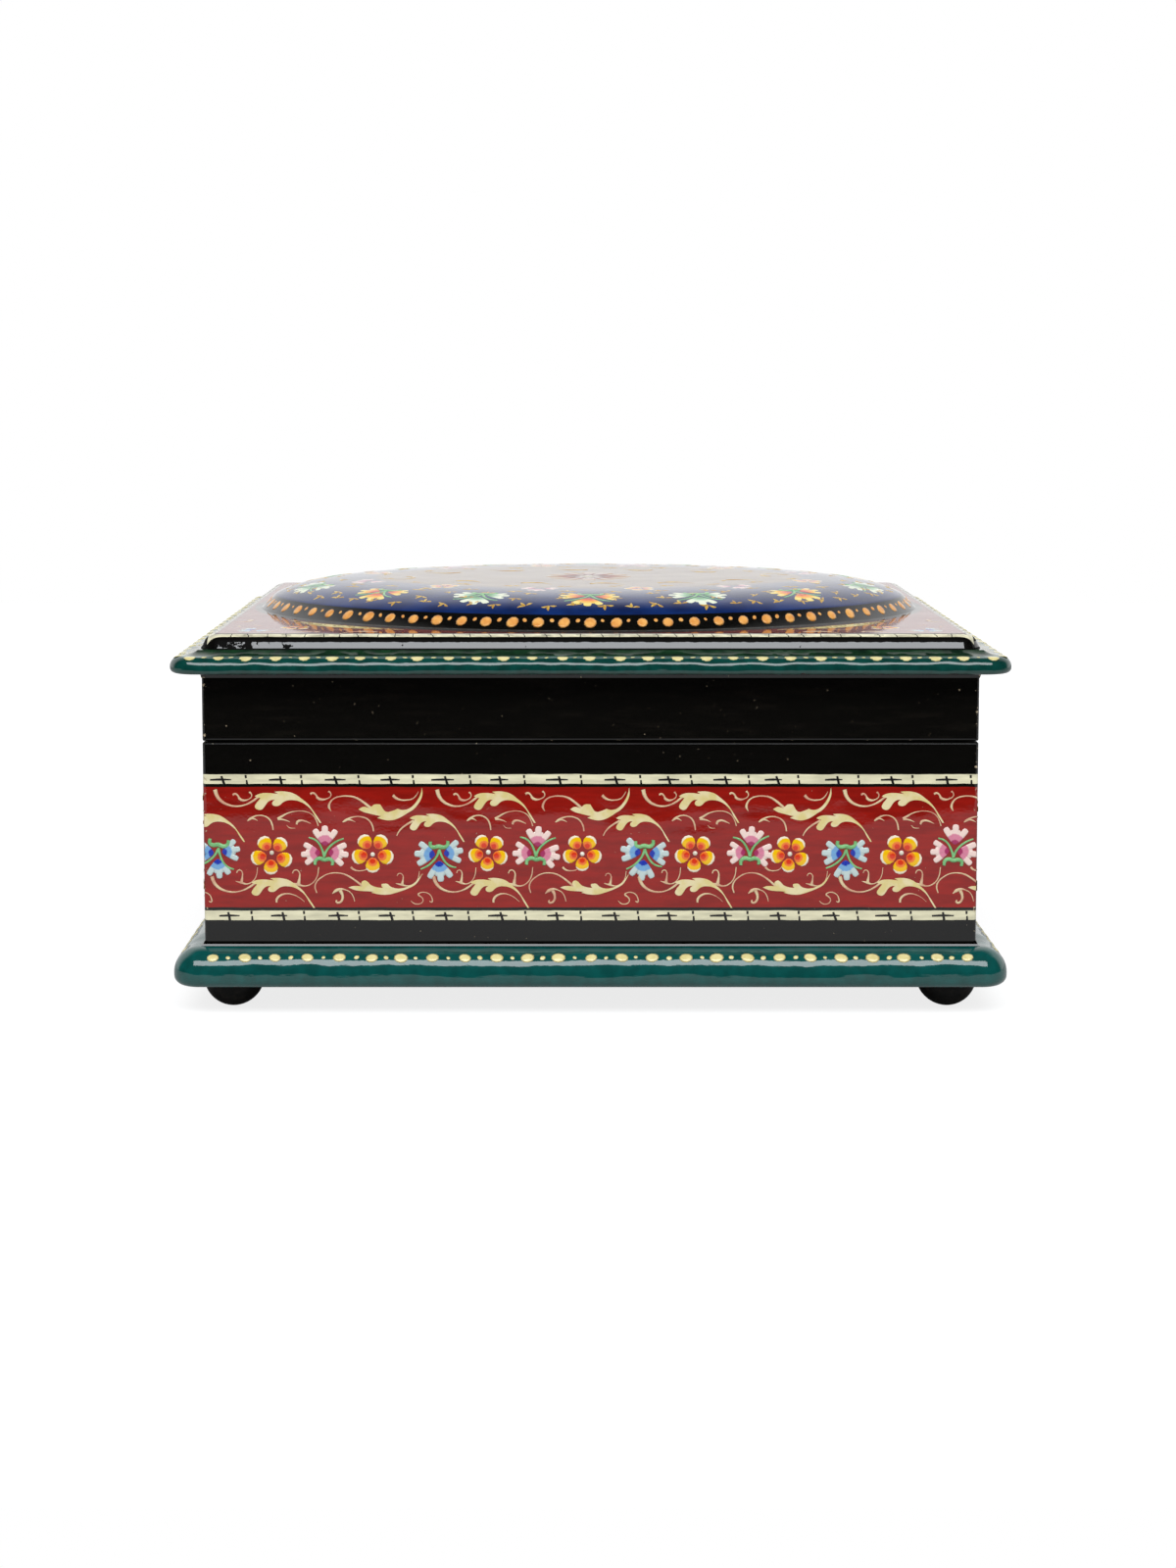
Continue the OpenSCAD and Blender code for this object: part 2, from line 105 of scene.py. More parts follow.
def varnished(name, coat_roughness=0.04, coat_ior=1.5):
    """A new material of paint under clear varnish: its tree, its shader, and places in mm."""
    material = bpy.data.materials.new(name)
    material.use_nodes = True
    tree = material.node_tree
    shader = tree.nodes["Principled BSDF"]
    shader.inputs["Roughness"].default_value = 0.5
    shader.inputs["Specular IOR Level"].default_value = 0.04
    shader.inputs["Coat Weight"].default_value = 1
    shader.inputs["Coat Roughness"].default_value = coat_roughness
    shader.inputs["Coat IOR"].default_value = coat_ior
    here = node(tree, "TexCoord", {}).node.outputs["Object"]
    return material, tree, shader, node(tree, "Mapping", {"Vector": here, "Scale": (1 / MM,) * 3})


def shaded(tree, place, scale, detail, stops, stretch=(1, 1, 1), roughness=0.5):
    """The shades that a brush leaves in a paint: scale in 1/mm before the stretch."""
    stretched = node(tree, "Mapping", {"Vector": place, "Scale": stretch})
    clouds = node(tree, "TexNoise", {"Vector": stretched, "Scale": scale, "Detail": detail,
                                     "Roughness": roughness})
    return node(tree, "ValToRGB", {"Fac": clouds}, stops=stops)


def layered(tree, shader, ground, *coats):
    """Lays coats over a ground, each the place that it covers, as 0 to 1, and its colour."""
    for where, colour in coats:
        ground = node(tree, "Mix", {"Factor": where, 6: ground, 7: colour}, data_type="RGBA")
    tree.links.new(ground, shader.inputs["Base Color"])


def bumped(tree, shader, height, distance):
    """Bumps the paint and its varnish, over the bumps that they have."""
    before = shader.inputs["Normal"].links
    earlier = {"Normal": before[0].from_socket} if before else {}
    bump = node(tree, "Bump", {"Height": height, "Distance": distance, "Strength": 1.0, **earlier})
    for normal in ("Normal", "Coat Normal"):
        tree.links.new(bump, shader.inputs[normal])


def uneven(tree, shader, place, *layers):
    """Bumps of several kinds: (stretch, scale in 1/mm before it, height in mm, detail)."""
    for stretch, scale, height, detail in layers:
        stretched = node(tree, "Mapping", {"Vector": place, "Scale": stretch})
        rough = node(tree, "TexNoise", {"Vector": stretched, "Scale": scale, "Detail": detail})
        bumped(tree, shader, rough, height * MM)


def inward(tree, place, half_w, half_d, joined_by="MINIMUM"):
    """How far a place lies in from the nearest side, or with ADD from a corner's two, in mm."""
    xyz = node(tree, "SeparateXYZ", {"Vector": place}).node.outputs
    deep = {}
    for i, (axis, half) in enumerate((("X", half_w), ("Y", half_d))):
        beside = node(tree, "Math", {0: xyz[axis]}, operation="ABSOLUTE")
        deep[i] = node(tree, "Math", {0: half, 1: beside}, operation="SUBTRACT")
    return node(tree, "Math", deep, operation=joined_by)


def dress(material, *names):
    """Gives CAD nodes their finish."""
    for name in names:
        nodes[name].material_slots[0].material = material


base_low, base_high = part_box("base_board")

green_lacquer, tree, shader, place = varnished("green_brushed_lacquer", 0.05, 1.6)
green = shaded(tree, place, 0.35, 4.0, ((0.35, GREEN_DEEP), (0.65, GREEN)))
chips = node(tree, "TexNoise", {"Vector": place, "Scale": 0.5, "Detail": 6.0, "Roughness": 0.7})
chipped = node(tree, "MapRange", {"Value": chips, "From Min": 0.735, "From Max": 0.75})
board_z = node(tree, "SeparateXYZ", {"Vector": place}).node.outputs["Z"]
under = node(tree, "Math", {0: board_z, 1: base_low.z / MM + SKIN}, operation="LESS_THAN")
on_top = node(tree, "Math", {0: board_z, 1: base_high.z / MM - SKIN}, operation="GREATER_THAN")
inside = node(tree, "Math", {0: inward(tree, place, base_high.x / MM, base_high.y / MM),
                             1: FLOOR_INSET}, operation="GREATER_THAN")
black = node(tree, "Math", {0: on_top, 1: inside}, operation="MINIMUM")
black = node(tree, "Math", {0: black, 1: under}, operation="MAXIMUM")
layered(tree, shader, green, (chipped, GREEN_CHIP), (black, UNDERSIDE))
uneven(tree, shader, place, ((1, 1, 1), 0.05, 1.1, 1.0), ((1, 1, 1), 0.11, 0.45, 1.0),
       ((1, 1, 3), 0.12, 0.10, 2.0), ((1, 1, 2), 0.9, 0.012, 4.0))
dress(green_lacquer, "base_board")

# ---- Dots along the base board ----
# A row of cream dots with a speck between each two, touched on with the tip of the brush. Each
# is a low drop of thick paint that follows the round of the moulding.
BOARD_ROUND = 6.2                  # radius of the quarter round, mm
DOT_PITCH = 7.55
DOT_SIZE = (3.35, 2.55)
SPECK_SIZE = (1.25, 1.0)
PAINT_HEIGHT = 0.16
DOT_HEIGHT = 0.1
DOT_ROW = -4.7                     # from the round's upper end down to the row, along the round
BARE_END = 6.5                     # what the row leaves free at each end of a side, mm
DOT_CREAM = "#e4d89c"
DOT_EDGE = "#d6c988"
THICK_PAINT = ((1, 1, 1), 2.5, 0.006, 3.0)  # the bumps that a loaded brush leaves

rng = random.Random(7)


def choose(*pieces):
    """Makes pieces the only selected ones, and the first of them the active one."""
    bpy.ops.object.select_all(action="DESELECT")
    for piece in pieces:
        piece.select_set(True)
    bpy.context.view_layer.objects.active = pieces[0]


def joined(name, pieces):
    """Joins pieces into one, under a new name."""
    choose(*pieces)
    if len(pieces) > 1:
        bpy.ops.object.join()
    pieces[0].name = pieces[0].data.name = name
    return pieces[0]


def drop(width, length, height, sides=10, rings=4):
    """A low drop of paint on the canvas: the upper half of a flattened ball, closed below."""
    bpy.ops.mesh.primitive_uv_sphere_add(segments=sides, ring_count=rings, radius=1)
    bpy.ops.object.mode_set(mode="EDIT")
    bpy.ops.mesh.select_all(action="SELECT")
    bpy.ops.mesh.bisect(plane_co=(0, 0, -0.25), plane_no=(0, 0, 1), clear_inner=True,
                        use_fill=True)
    bpy.ops.object.mode_set(mode="OBJECT")
    piece = bpy.context.object
    piece.data.transform(Matrix.Diagonal(
        (width / 2 * MM, length / 2 * MM, height * MM, 1)))
    bpy.ops.object.shade_smooth()
    return piece


def stamped(model, places):
    """Copies of a model, each with its own mesh, at (x, y, turn, size) on the canvas, in mm."""
    copies = []
    for x, y, turn, size in places:
        copy = model.copy()
        copy.data = model.data.copy()
        copy.data.transform(Matrix.Translation((x * MM, y * MM, 0))
                            @ Matrix.Rotation(turn, 4, "Z") @ Matrix.Diagonal((size,) * 3 + (1,)))
        bpy.context.scene.collection.objects.link(copy)
        copies.append(copy)
    return copies


def composed(name, *kinds):
    """One piece made of copies of each kind's shape at its places. The shapes themselves go."""
    piece = joined(name, [copy for shape, places in kinds for copy in stamped(shape, places)])
    for shape, places in kinds:
        bpy.data.objects.remove(shape)
    return piece


def done(piece, material, body):
    """Gives a finished piece its material, and the body that it rides."""
    piece.data.materials.clear()
    piece.data.materials.append(material)
    bpy.ops.object.select_all(action="DESELECT")
    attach(piece, body)


def gouache(name, stops, scale=0.6):
    """Thick opaque paint under the varnish, in shades that its brushwork leaves."""
    material, tree, shader, place = varnished(name, 0.05)
    layered(tree, shader, shaded(tree, place, scale, 5.0, stops))
    uneven(tree, shader, place, THICK_PAINT)
    return material


def rolled_row(width, out_to, top, radius, row, pitch, dot_size, speck_size):
    """One side's dots, rolled from the canvas over a moulding's round, on the front."""
    count = round(width / pitch)
    pitch = width / count
    places = [((i + 0.5) * pitch - width / 2 + rng.uniform(-0.35, 0.35), rng.uniform(-0.1, 0.1),
               rng.uniform(-0.3, 0.3), rng.uniform(0.88, 1.1)) for i in range(count)]
    specks = [((a[0] + b[0]) / 2 + rng.uniform(-0.3, 0.3), rng.uniform(-0.15, 0.15),
               rng.uniform(-0.6, 0.6), rng.uniform(0.8, 1.2)) for a, b in zip(places, places[1:])]
    piece = composed("dots", (drop(*dot_size, DOT_HEIGHT), places),
                     (drop(*speck_size, DOT_HEIGHT * 0.7, 8, 4), specks))
    for vertex in piece.data.vertices:
        x, y, h = vertex.co / MM
        s = y + row
        turn = min(s, 0) / radius
        vertex.co = Vector((x, -out_to + radius - (radius + h) * math.cos(math.pi / 2 + turn)
                            + max(s, 0),
                            top - radius + (radius + h) * math.sin(math.pi / 2 + turn))) * MM
    return piece


def around(name, side_piece, sizes):
    """Makes a piece for each of the four sides, turns it to its side and joins the four."""
    pieces = []
    for side in range(4):
        piece = side_piece(side, *sizes[side % 2])
        piece.data.transform(Matrix.Rotation(side * math.pi / 2, 4, "Z"))
        pieces.append(piece)
    return joined(name, pieces)


def board_dots(name, body, bare_end, *row):
    """The dots along all four sides of a board, with what rolled_row takes of each row."""
    sides = ((board_w - 2 * bare_end, board_d / 2), (board_d - 2 * bare_end, board_w / 2))
    done(around(name, lambda side, width, out_to: rolled_row(width, out_to, *row), sides),
         dot_paint, body)


board_w, board_d = ((base_high.x - base_low.x) / MM, (base_high.y - base_low.y) / MM)
dot_paint = gouache("cream_dot_gouache", ((0.35, DOT_EDGE), (0.6, DOT_CREAM)))
board_dots("base_board_dots", "box", BARE_END, base_high.z / MM, BOARD_ROUND, DOT_ROW, DOT_PITCH,
           DOT_SIZE, SPECK_SIZE)

# ---- Walls ----
# Four boards around the box, gessoed and painted black. Outside they carry a red band between
# two cream borders, ruled by hand with black lines. Inside they are plain black.
WALL_RED = "#9a180f"
CREAM = "#f2ecc8"
BLACK = "#090806"
LINE_BLACK = "#12100c"
WORN = "#b9a88c"
WALL_STREAK = "#d8d8d8"            # the darkest streaks of the brush, as a share of each colour
STREAK_PALE = "#ffffff"
LOWER_BORDER = (22.6, 24.9)        # height of its cream, mm
UPPER_BORDER = (56.35, 58.6)
LOWER_LINE_TOP = 25.75             # where the black line on its inner side ends
UPPER_LINE_FOOT = 55.5
LINE_WANDER = 0.2                  # how far the hand strays from a ruled line, mm
PAINT_DEPTH = 1.2                  # what lies deeper in the wall than this is its inner face
WEAR_DEPTH = 0.45                  # how far the wear reaches from the seam, mm
CORNER_WEAR = 0.35                 # it reaches further at the upright corners, by its inverse
WEAR_SHARE = 0.2                   # how much more of the paint is gone right at the edge
SEAM_BARE = 0.35                   # how far from the seam the varnish is lost, mm

wall_low, wall_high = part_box("front_wall")
body_w = (wall_high.x - wall_low.x) / MM
body_d = (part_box("back_wall")[1].y - wall_low.y) / MM
wall_foot, wall_top = wall_low.z / MM, wall_high.z / MM


def worn_edges(tree, place, edge_z):
    """Where the paint is off in specks, by the seam at edge_z and the upright corners."""
    height = node(tree, "SeparateXYZ", {"Vector": place}).node.outputs["Z"]
    depth = node(tree, "Math", {0: height, 1: edge_z}, operation="SUBTRACT")
    depth = node(tree, "Math", {0: depth}, operation="ABSOLUTE")
    depth = node(tree, "Math", {0: depth, 1: inward(tree, place, body_w / 2, body_d / 2)},
                 operation="ADD")
    to_corner = inward(tree, place, body_w / 2, body_d / 2, "ADD")
    to_corner = node(tree, "Math", {0: to_corner, 1: CORNER_WEAR}, operation="MULTIPLY")
    depth = node(tree, "Math", {0: depth, 1: to_corner}, operation="MINIMUM")
    near = node(tree, "MapRange", {"Value": depth, "From Min": WEAR_DEPTH, "From Max": 0.0,
                                   "To Min": 0.0, "To Max": WEAR_SHARE})
    specks = node(tree, "TexNoise", {"Vector": place, "Scale": 0.9, "Detail": 6.0,
                                     "Roughness": 0.65})
    wear_and_highlight = node(tree, "Math", {0: specks, 1: near}, operation="ADD")
    off_seam = node(tree, "Math", {0: height, 1: edge_z, 2: SEAM_BARE}, operation="COMPARE")
    off_seam = node(tree, "Math", {0: 1.0, 1: off_seam}, operation="SUBTRACT")
    tree.links.new(off_seam, tree.nodes["Principled BSDF"].inputs["Coat Weight"])
    return node(tree, "MapRange", {"Value": wear_and_highlight, "From Min": 0.70, "From Max": 0.74})


def strayed(tree, place, way, by, scale):
    """A way across a surface, off by as much as the hand strays from a ruled line."""
    wander = node(tree, "TexNoise", {"Vector": place, "Scale": scale, "Detail": 3.0})
    off = node(tree, "MapRange", {"Value": wander, "To Min": -by, "To Max": by})
    return node(tree, "Math", {0: way, 1: off}, operation="ADD")


def ruled(tree, place, way, ends, bands, stretch, scale, streak):
    """Bands across a way in mm, each its start and its colour, painted with streaks."""
    first, last = ends
    share = node(tree, "MapRange", {"Value": way, "From Min": first, "From Max": last})
    plain = node(tree, "ValToRGB", {"Fac": share}, stops=[
        ((start - first) / (last - first), colour) for start, colour in bands])
    plain.node.color_ramp.interpolation = "CONSTANT"
    streaks = shaded(tree, place, scale, 5.0, ((0.3, streak), (0.7, STREAK_PALE)), stretch)
    return node(tree, "Mix", {"Factor": 1.0, 6: plain, 7: streaks}, data_type="RGBA",
                blend_type="MULTIPLY")


painted_wall, tree, shader, place = varnished("painted_wall_lacquer", 0.035)
wall_z = node(tree, "SeparateXYZ", {"Vector": place}).node.outputs["Z"]
painted = ruled(tree, place, strayed(tree, place, wall_z, LINE_WANDER, 0.16),
                (wall_foot, wall_top), (
                    (wall_foot, BLACK), (LOWER_BORDER[0], CREAM), (LOWER_BORDER[1], LINE_BLACK),
                    (LOWER_LINE_TOP, WALL_RED), (UPPER_LINE_FOOT, LINE_BLACK),
                    (UPPER_BORDER[0], CREAM), (UPPER_BORDER[1], BLACK)),
                (0.25, 0.25, 1.6), 0.55, WALL_STREAK)
outside = node(tree, "Math", {0: inward(tree, place, body_w / 2, body_d / 2), 1: PAINT_DEPTH},
               operation="LESS_THAN")
layered(tree, shader, BLACK, (outside, painted), (worn_edges(tree, place, wall_top), WORN))
uneven(tree, shader, place, ((1, 1, 2), 0.07, 0.10, 1.0), ((1, 1, 1.5), 1.1, 0.006, 4.0))
dress(painted_wall, "front_wall", "back_wall", "left_wall", "right_wall")

# ---- Flowers around the walls ----
# One row of flowers runs round the red band: five-petalled yellow ones between sprays of three
# lilies, pink ones that stand and blue ones that hang. They are laid on in thick gouache.
FLOWER_ROW = 39.2                  # height of the row's middle, mm
FRONT_PLACES = (-91.2, -78.0, -65.1, -53.3, -37.0, -25.0, -13.3, -2.0, 13.3, 25.6, 39.0, 48.8,
                62.5, 76.1, 88.9)
FLOWER_PITCH = 12.75               # the pitch that the other sides keep
KINDS = ("blue", "yellow", "pink", "yellow")
PETAL_SIZE = (3.4, 3.7)
PETAL_OUT = 3.05                   # from the flower's middle to the petal's
LOBE_SIZE = (2.1, 5.3)
FAN_SIZE = (3.6, 3.9)              # the web between the lobes of a lily
IN_PLACE = [(0, 0, 0, 1)]
PETAL_WHITE, PETAL_YELLOW, PETAL_ORANGE, PETAL_RED = "#f0e4cc", "#f2bd0b", "#ee7a2e", "#d8381c"
PINKS = ("#a52d5f", "#d7829b", "#f0d6cc")
BLUES = ("#2238a8", "#74a5d2", "#c3d3d0")
LEAF_GREENS = ("#74b374", "#86c483")
WHITES = ("#dcd2bc", "#f1ecdc")


def along_petal(name, stops):
    """Gouache whose shades follow a petal's own UV map, blurred a little by the brush."""
    material, tree, shader, place = varnished(name, 0.05)
    map_v = node(tree, "SeparateXYZ", {"Vector": node(tree, "UVMap", {})}).node.outputs["Y"]
    reach = strayed(tree, place, map_v, 0.05, 2.2)
    layered(tree, shader, node(tree, "ValToRGB", {"Fac": reach}, stops=stops))
    uneven(tree, shader, place, THICK_PAINT)
    return material


def reach_from(piece, y, far):
    """Sets a petal's UV so that v is the distance from (0, y) on the canvas, over far, in mm."""
    places = piece.data.vertices
    for loop, spot in zip(piece.data.loops, piece.data.uv_layers.active.data):
        at = places[loop.vertex_index].co / MM
        spot.uv = (0.5, math.hypot(at.x, at.y - y) / far)
    return piece


def petal():
    """A round petal with its narrower end at the flower's middle."""
    piece = drop(2 / MM, 2 / MM, 1 / MM, 12, 8)
    for vertex in piece.data.vertices:
        vertex.co.x *= 1 + 0.16 * vertex.co.y
    piece.data.transform(Matrix.Translation((0, PETAL_OUT * MM, 0)) @ Matrix.Diagonal(
        (PETAL_SIZE[0] / 2 * MM, PETAL_SIZE[1] / 2 * MM, PAINT_HEIGHT * MM, 1)))
    return reach_from(piece, PETAL_OUT - 0.27 * PETAL_SIZE[1], 0.8 * PETAL_SIZE[1])


def lobe(width, length, height=PAINT_HEIGHT):
    """One lobe of a lily, from its throat at the origin to its blunt tip, along +Y."""
    bpy.ops.mesh.primitive_uv_sphere_add(segments=10, ring_count=8, radius=1)
    piece = bpy.context.object
    piece.data.transform(Matrix.Rotation(-math.pi / 2, 4, "X"))
    for vertex in piece.data.vertices:
        y = min(vertex.co.y, 0.995)
        vertex.co.x *= (0.74 + 0.2 * y) * (((1 + y * y) / (1 - y * y)) ** 0.25 if y > 0 else 1)
    piece.data.transform(Matrix.Diagonal((width / 2 * MM, length / 2 * MM, height * MM, 1))
                         @ Matrix.Translation((0, 1, 0)))
    bpy.ops.object.shade_smooth()
    return reach_from(piece, 0, LOBE_SIZE[1])


def meshed(name, curve):
    """Turns a curve into a piece of the canvas."""
    piece = bpy.data.objects.new(name, curve)
    bpy.context.scene.collection.objects.link(piece)
    choose(piece)
    bpy.ops.object.convert(target="MESH")
    return bpy.context.object


def brushwork(name, strokes, flatness=0.1):
    """Brush strokes on the canvas. Each is a list of (x, y, half width) in mm."""
    curve = bpy.data.curves.new(name, "CURVE")
    curve.dimensions = "3D"
    curve.bevel_depth = MM
    curve.bevel_resolution = 1
    curve.resolution_u = 4
    curve.use_fill_caps = True
    for stroke in strokes:
        spline = curve.splines.new("BEZIER")
        spline.bezier_points.add(len(stroke) - 1)
        for point, (x, y, half) in zip(spline.bezier_points, stroke):
            point.co = (x * MM, y * MM, 0)
            point.radius = half
            point.handle_left_type = point.handle_right_type = "AUTO"
    piece = meshed(name, curve)
    piece.data.transform(Matrix.Diagonal((1, 1, flatness, 1)))
    bpy.ops.object.shade_smooth()
    return piece


def moved(strokes, x, y, size=1.0, stretch=1.0, flip=1, turn=0.0):
    """Strokes moved, sized and turned on the canvas. flip -1 turns them upside down."""
    c, s = math.cos(turn), math.sin(turn)
    out = []
    for stroke in strokes:
        shaped = [(px * size * stretch, py * size * flip, half * size) for px, py, half in stroke]
        out.append([(x + px * c - py * s, y + px * s + py * c, half) for px, py, half in shaped])
    return out


yellow_flower = composed("yellow", (petal(), [
    (0, 0, math.radians(33 + 72 * k), 1 + 0.05 * (k % 2)) for k in range(5)]))
flower_eye = drop(1.25, 1.25, 0.3, 8, 4)
fan = lobe(*FAN_SIZE, PAINT_HEIGHT * 0.8)
lobes = composed("lobes", (lobe(*LOBE_SIZE), [
    (0, 0, math.radians(turn), size) for turn, size in ((32, 0.97), (0, 1), (-35, 0.95))]))
lily = composed("lily", (fan, IN_PLACE), (lobes, IN_PLACE))
spray = composed("spray", (lily, [(0.2, 1.5, 0, 0.95), (-1.1, -0.1, math.radians(96), 0.88),
                                  (1.0, -0.1, math.radians(-98), 0.93)]))
STALKS = [
    [(0, -1.3, 0.42), (-0.5, 0.3, 0.3), (-1.45, 2.2, 0.26), (-2.6, 3.2, 0.26), (-4.0, 3.65, 0.2)],
    [(0, -1.0, 0.35), (0.6, 0.4, 0.3), (1.9, 1.9, 0.28), (3.4, 2.9, 0.25), (4.9, 3.5, 0.2)],
    [(-2.4, -3.3, 0.42), (-2.2, -2.2, 0.5), (-1.3, -1.7, 0.55), (0, -2.05, 0.55),
     (1.2, -1.85, 0.55), (2.05, -2.3, 0.5), (2.0, -3.4, 0.42)]]


def flower_row(side, width):
    """The kinds and places of one side's flowers: (kind, x)."""
    if side == 0:
        return [(KINDS[i % 4], x) for i, x in enumerate(FRONT_PLACES)]
    count = math.ceil(width / FLOWER_PITCH) + 1
    first = -(count // 2) * FLOWER_PITCH
    return [(KINDS[(i + 2 * side) % 4], first + i * FLOWER_PITCH + rng.uniform(-0.8, 0.8))
            for i in range(count)]


def on_wall(piece, width, out_to):
    """Trims a piece of the canvas to the wall's width and stands it on the front."""
    choose(piece)
    bpy.ops.object.mode_set(mode="EDIT")
    for end in (-1, 1):
        bpy.ops.mesh.select_all(action="SELECT")
        bpy.ops.mesh.bisect(plane_co=(end * (width / 2 - 0.3) * MM, 0, 0), plane_no=(end, 0, 0),
                            clear_outer=True, use_fill=True)
    bpy.ops.object.mode_set(mode="OBJECT")
    piece.data.transform(Matrix.Translation((0, -out_to * MM, 0))
                         @ Matrix.Rotation(math.pi / 2, 4, "X"))
    return piece


wall_sides = ((body_w, body_d / 2), (body_d, body_w / 2))
rows = [flower_row(side, wall_sides[side % 2][0]) for side in range(4)]
heights = {"blue": FLOWER_ROW - 0.1, "yellow": FLOWER_ROW, "pink": FLOWER_ROW + 0.4}


def on_walls(name, material, draw):
    """Stands what draw(side, width) gives on the canvas on each wall, and finishes it."""
    done(around(name, lambda side, width, out_to: on_wall(draw(side, width), width, out_to),
                wall_sides), material, "box")


def painted_kind(name, model, kind, material, turn=0.0):
    """Every flower of one kind, on all four walls."""
    on_walls(name, material, lambda side, width: joined(name, stamped(model, [
        (x, heights[kind] + rng.uniform(-0.3, 0.3), turn + rng.uniform(-0.1, 0.1),
         rng.uniform(0.96, 1.04)) for k, x in rows[side] if k == kind])))


YELLOW_SHADES = ((0.2, PETAL_RED), (0.28, PETAL_ORANGE), (0.39, PETAL_ORANGE),
                 (0.45, PETAL_YELLOW), (0.74, PETAL_YELLOW), (0.78, PETAL_WHITE))
PINK_SHADES = ((0.22, PINKS[0]), (0.27, PINKS[1]), (0.5, PINKS[1]), (0.56, PINKS[2]))
BLUE_SHADES = ((0.25, BLUES[0]), (0.3, BLUES[1]), (0.5, BLUES[1]), (0.56, BLUES[2]))
yellow_paint = along_petal("yellow_petal_gouache", YELLOW_SHADES)
pink_paint = along_petal("pink_lily_gouache", PINK_SHADES)
blue_paint = along_petal("blue_lily_gouache", BLUE_SHADES)
leaf_paint = gouache("leaf_green_gouache", ((0.4, LEAF_GREENS[0]), (0.6, LEAF_GREENS[1])))
white_paint = gouache("white_gouache", ((0.4, WHITES[0]), (0.6, WHITES[1])))
painted_kind("wall_yellow_flowers", yellow_flower, "yellow", yellow_paint)
painted_kind("wall_flower_eyes", flower_eye, "yellow", white_paint)
painted_kind("wall_pink_lilies", spray, "pink", pink_paint)
painted_kind("wall_blue_lilies", spray, "blue", blue_paint, math.pi)
stalks = brushwork("stalks", STALKS, 0.55)
painted_kind("wall_pink_stalks", stalks, "pink", leaf_paint)
painted_kind("wall_blue_stalks", stalks, "blue", leaf_paint, math.pi)

# ---- Scrolls around the walls ----
# Cream acanthus leaves and curls fill the red above and below the flowers. The leaves are laid
# on full and yellowish; their stems and the curls are thin strokes that let the red through.
LEAF_CREAM, LEAF_YELLOW = "#e6d8aa", "#dccb88"
SCROLL_THIN, SCROLL_CREAM = "#cf9d80", "#e0caa0"
CELL = 51.0                        # from one blue spray to the next, as the scroll is drawn
LEAF_THICK = 0.07
# Outlines of the leaves, from the end of the stem: (x, y, 1 where the outline has a point)
RISING_LEAF = [
    (-0.8, 0.3, 1), (0.2, 0.85, 0), (1.8, 1.15, 0), (5.4, 0.85, 1), (4.3, 1.5, 1),
    (5.7, 1.6, 0), (7.3, 1.5, 0), (9.2, 0.95, 0), (11.0, -0.35, 0), (12.8, -1.95, 0),
    (14.1, -3.8, 0), (15.2, -5.5, 0), (16.1, -7.0, 1), (15.7, -7.0, 1), (14.5, -5.1, 0),
    (13.7, -3.6, 0), (12.5, -2.3, 0), (10.8, -1.2, 0), (8.8, -0.75, 0), (7.1, -0.95, 0),
    (6.2, -1.5, 0), (5.5, -2.15, 0), (4.6, -2.4, 0), (3.7, -2.0, 0), (3.7, -1.3, 0),
    (4.5, -0.65, 1), (3.3, -0.75, 0), (2.4, -1.4, 0), (1.65, -2.5, 0), (0.9, -3.35, 0),
    (0, -3.4, 0), (-0.8, -2.7, 0), (-0.5, -1.8, 0), (0.2, -0.85, 0), (0.7, -0.2, 1),
    (-0.2, 0, 1)]
FALLING_LEAF = [
    (-3.0, -0.3, 1), (-1.7, 0.35, 0), (-0.2, -0.1, 1), (0.4, 0.5, 0), (1.1, 1.0, 0),
    (2.5, 1.0, 1), (3.1, 0, 0), (3.8, -0.9, 0), (4.6, -1.1, 1), (5.7, -0.75, 0),
    (7.0, -0.2, 1), (7.9, -0.5, 0), (9.0, -0.45, 0), (10.1, 0, 0), (11.2, 1.0, 0),
    (12.3, 2.6, 0), (12.9, 4.0, 0), (13.2, 5.4, 1), (13.3, 3.8, 0), (12.9, 2.4, 0),
    (12.1, 1.0, 0), (10.9, -0.4, 0), (9.5, -1.3, 0), (8.3, -2.1, 0), (6.8, -2.9, 0),
    (5.3, -3.3, 0), (3.85, -3.25, 0), (1.8, -2.65, 1), (2.9, -2.2, 1), (1.3, -1.85, 0),
    (-0.5, -1.4, 0), (-1.8, -1.0, 0)]
LOW_LEAF = [
    (-3.8, -0.3, 1), (-2.6, 0.05, 0), (0.1, -0.05, 1), (-0.35, 1.0, 0), (0.5, 1.7, 0),
    (1.3, 1.35, 0), (2.2, 0.4, 0), (3.7, -0.25, 0), (5.6, -0.5, 1), (5.1, 0.5, 0),
    (5.8, 0.75, 0), (6.7, 0.7, 0), (7.5, -0.05, 0), (9.0, -0.6, 0), (10.6, -0.6, 0),
    (12.1, -0.15, 0), (13.6, 0.6, 0), (14.9, 1.9, 0), (16.1, 3.5, 1), (15.2, 1.7, 0),
    (14.1, 0.4, 0), (12.5, -0.5, 0), (10.6, -1.3, 0), (8.8, -1.9, 0), (7.0, -2.35, 0),
    (4.4, -2.3, 0), (2.4, -1.8, 1), (3.3, -1.55, 1), (1.5, -1.4, 0), (-0.4, -1.3, 0),
    (-2.2, -1.0, 0)]
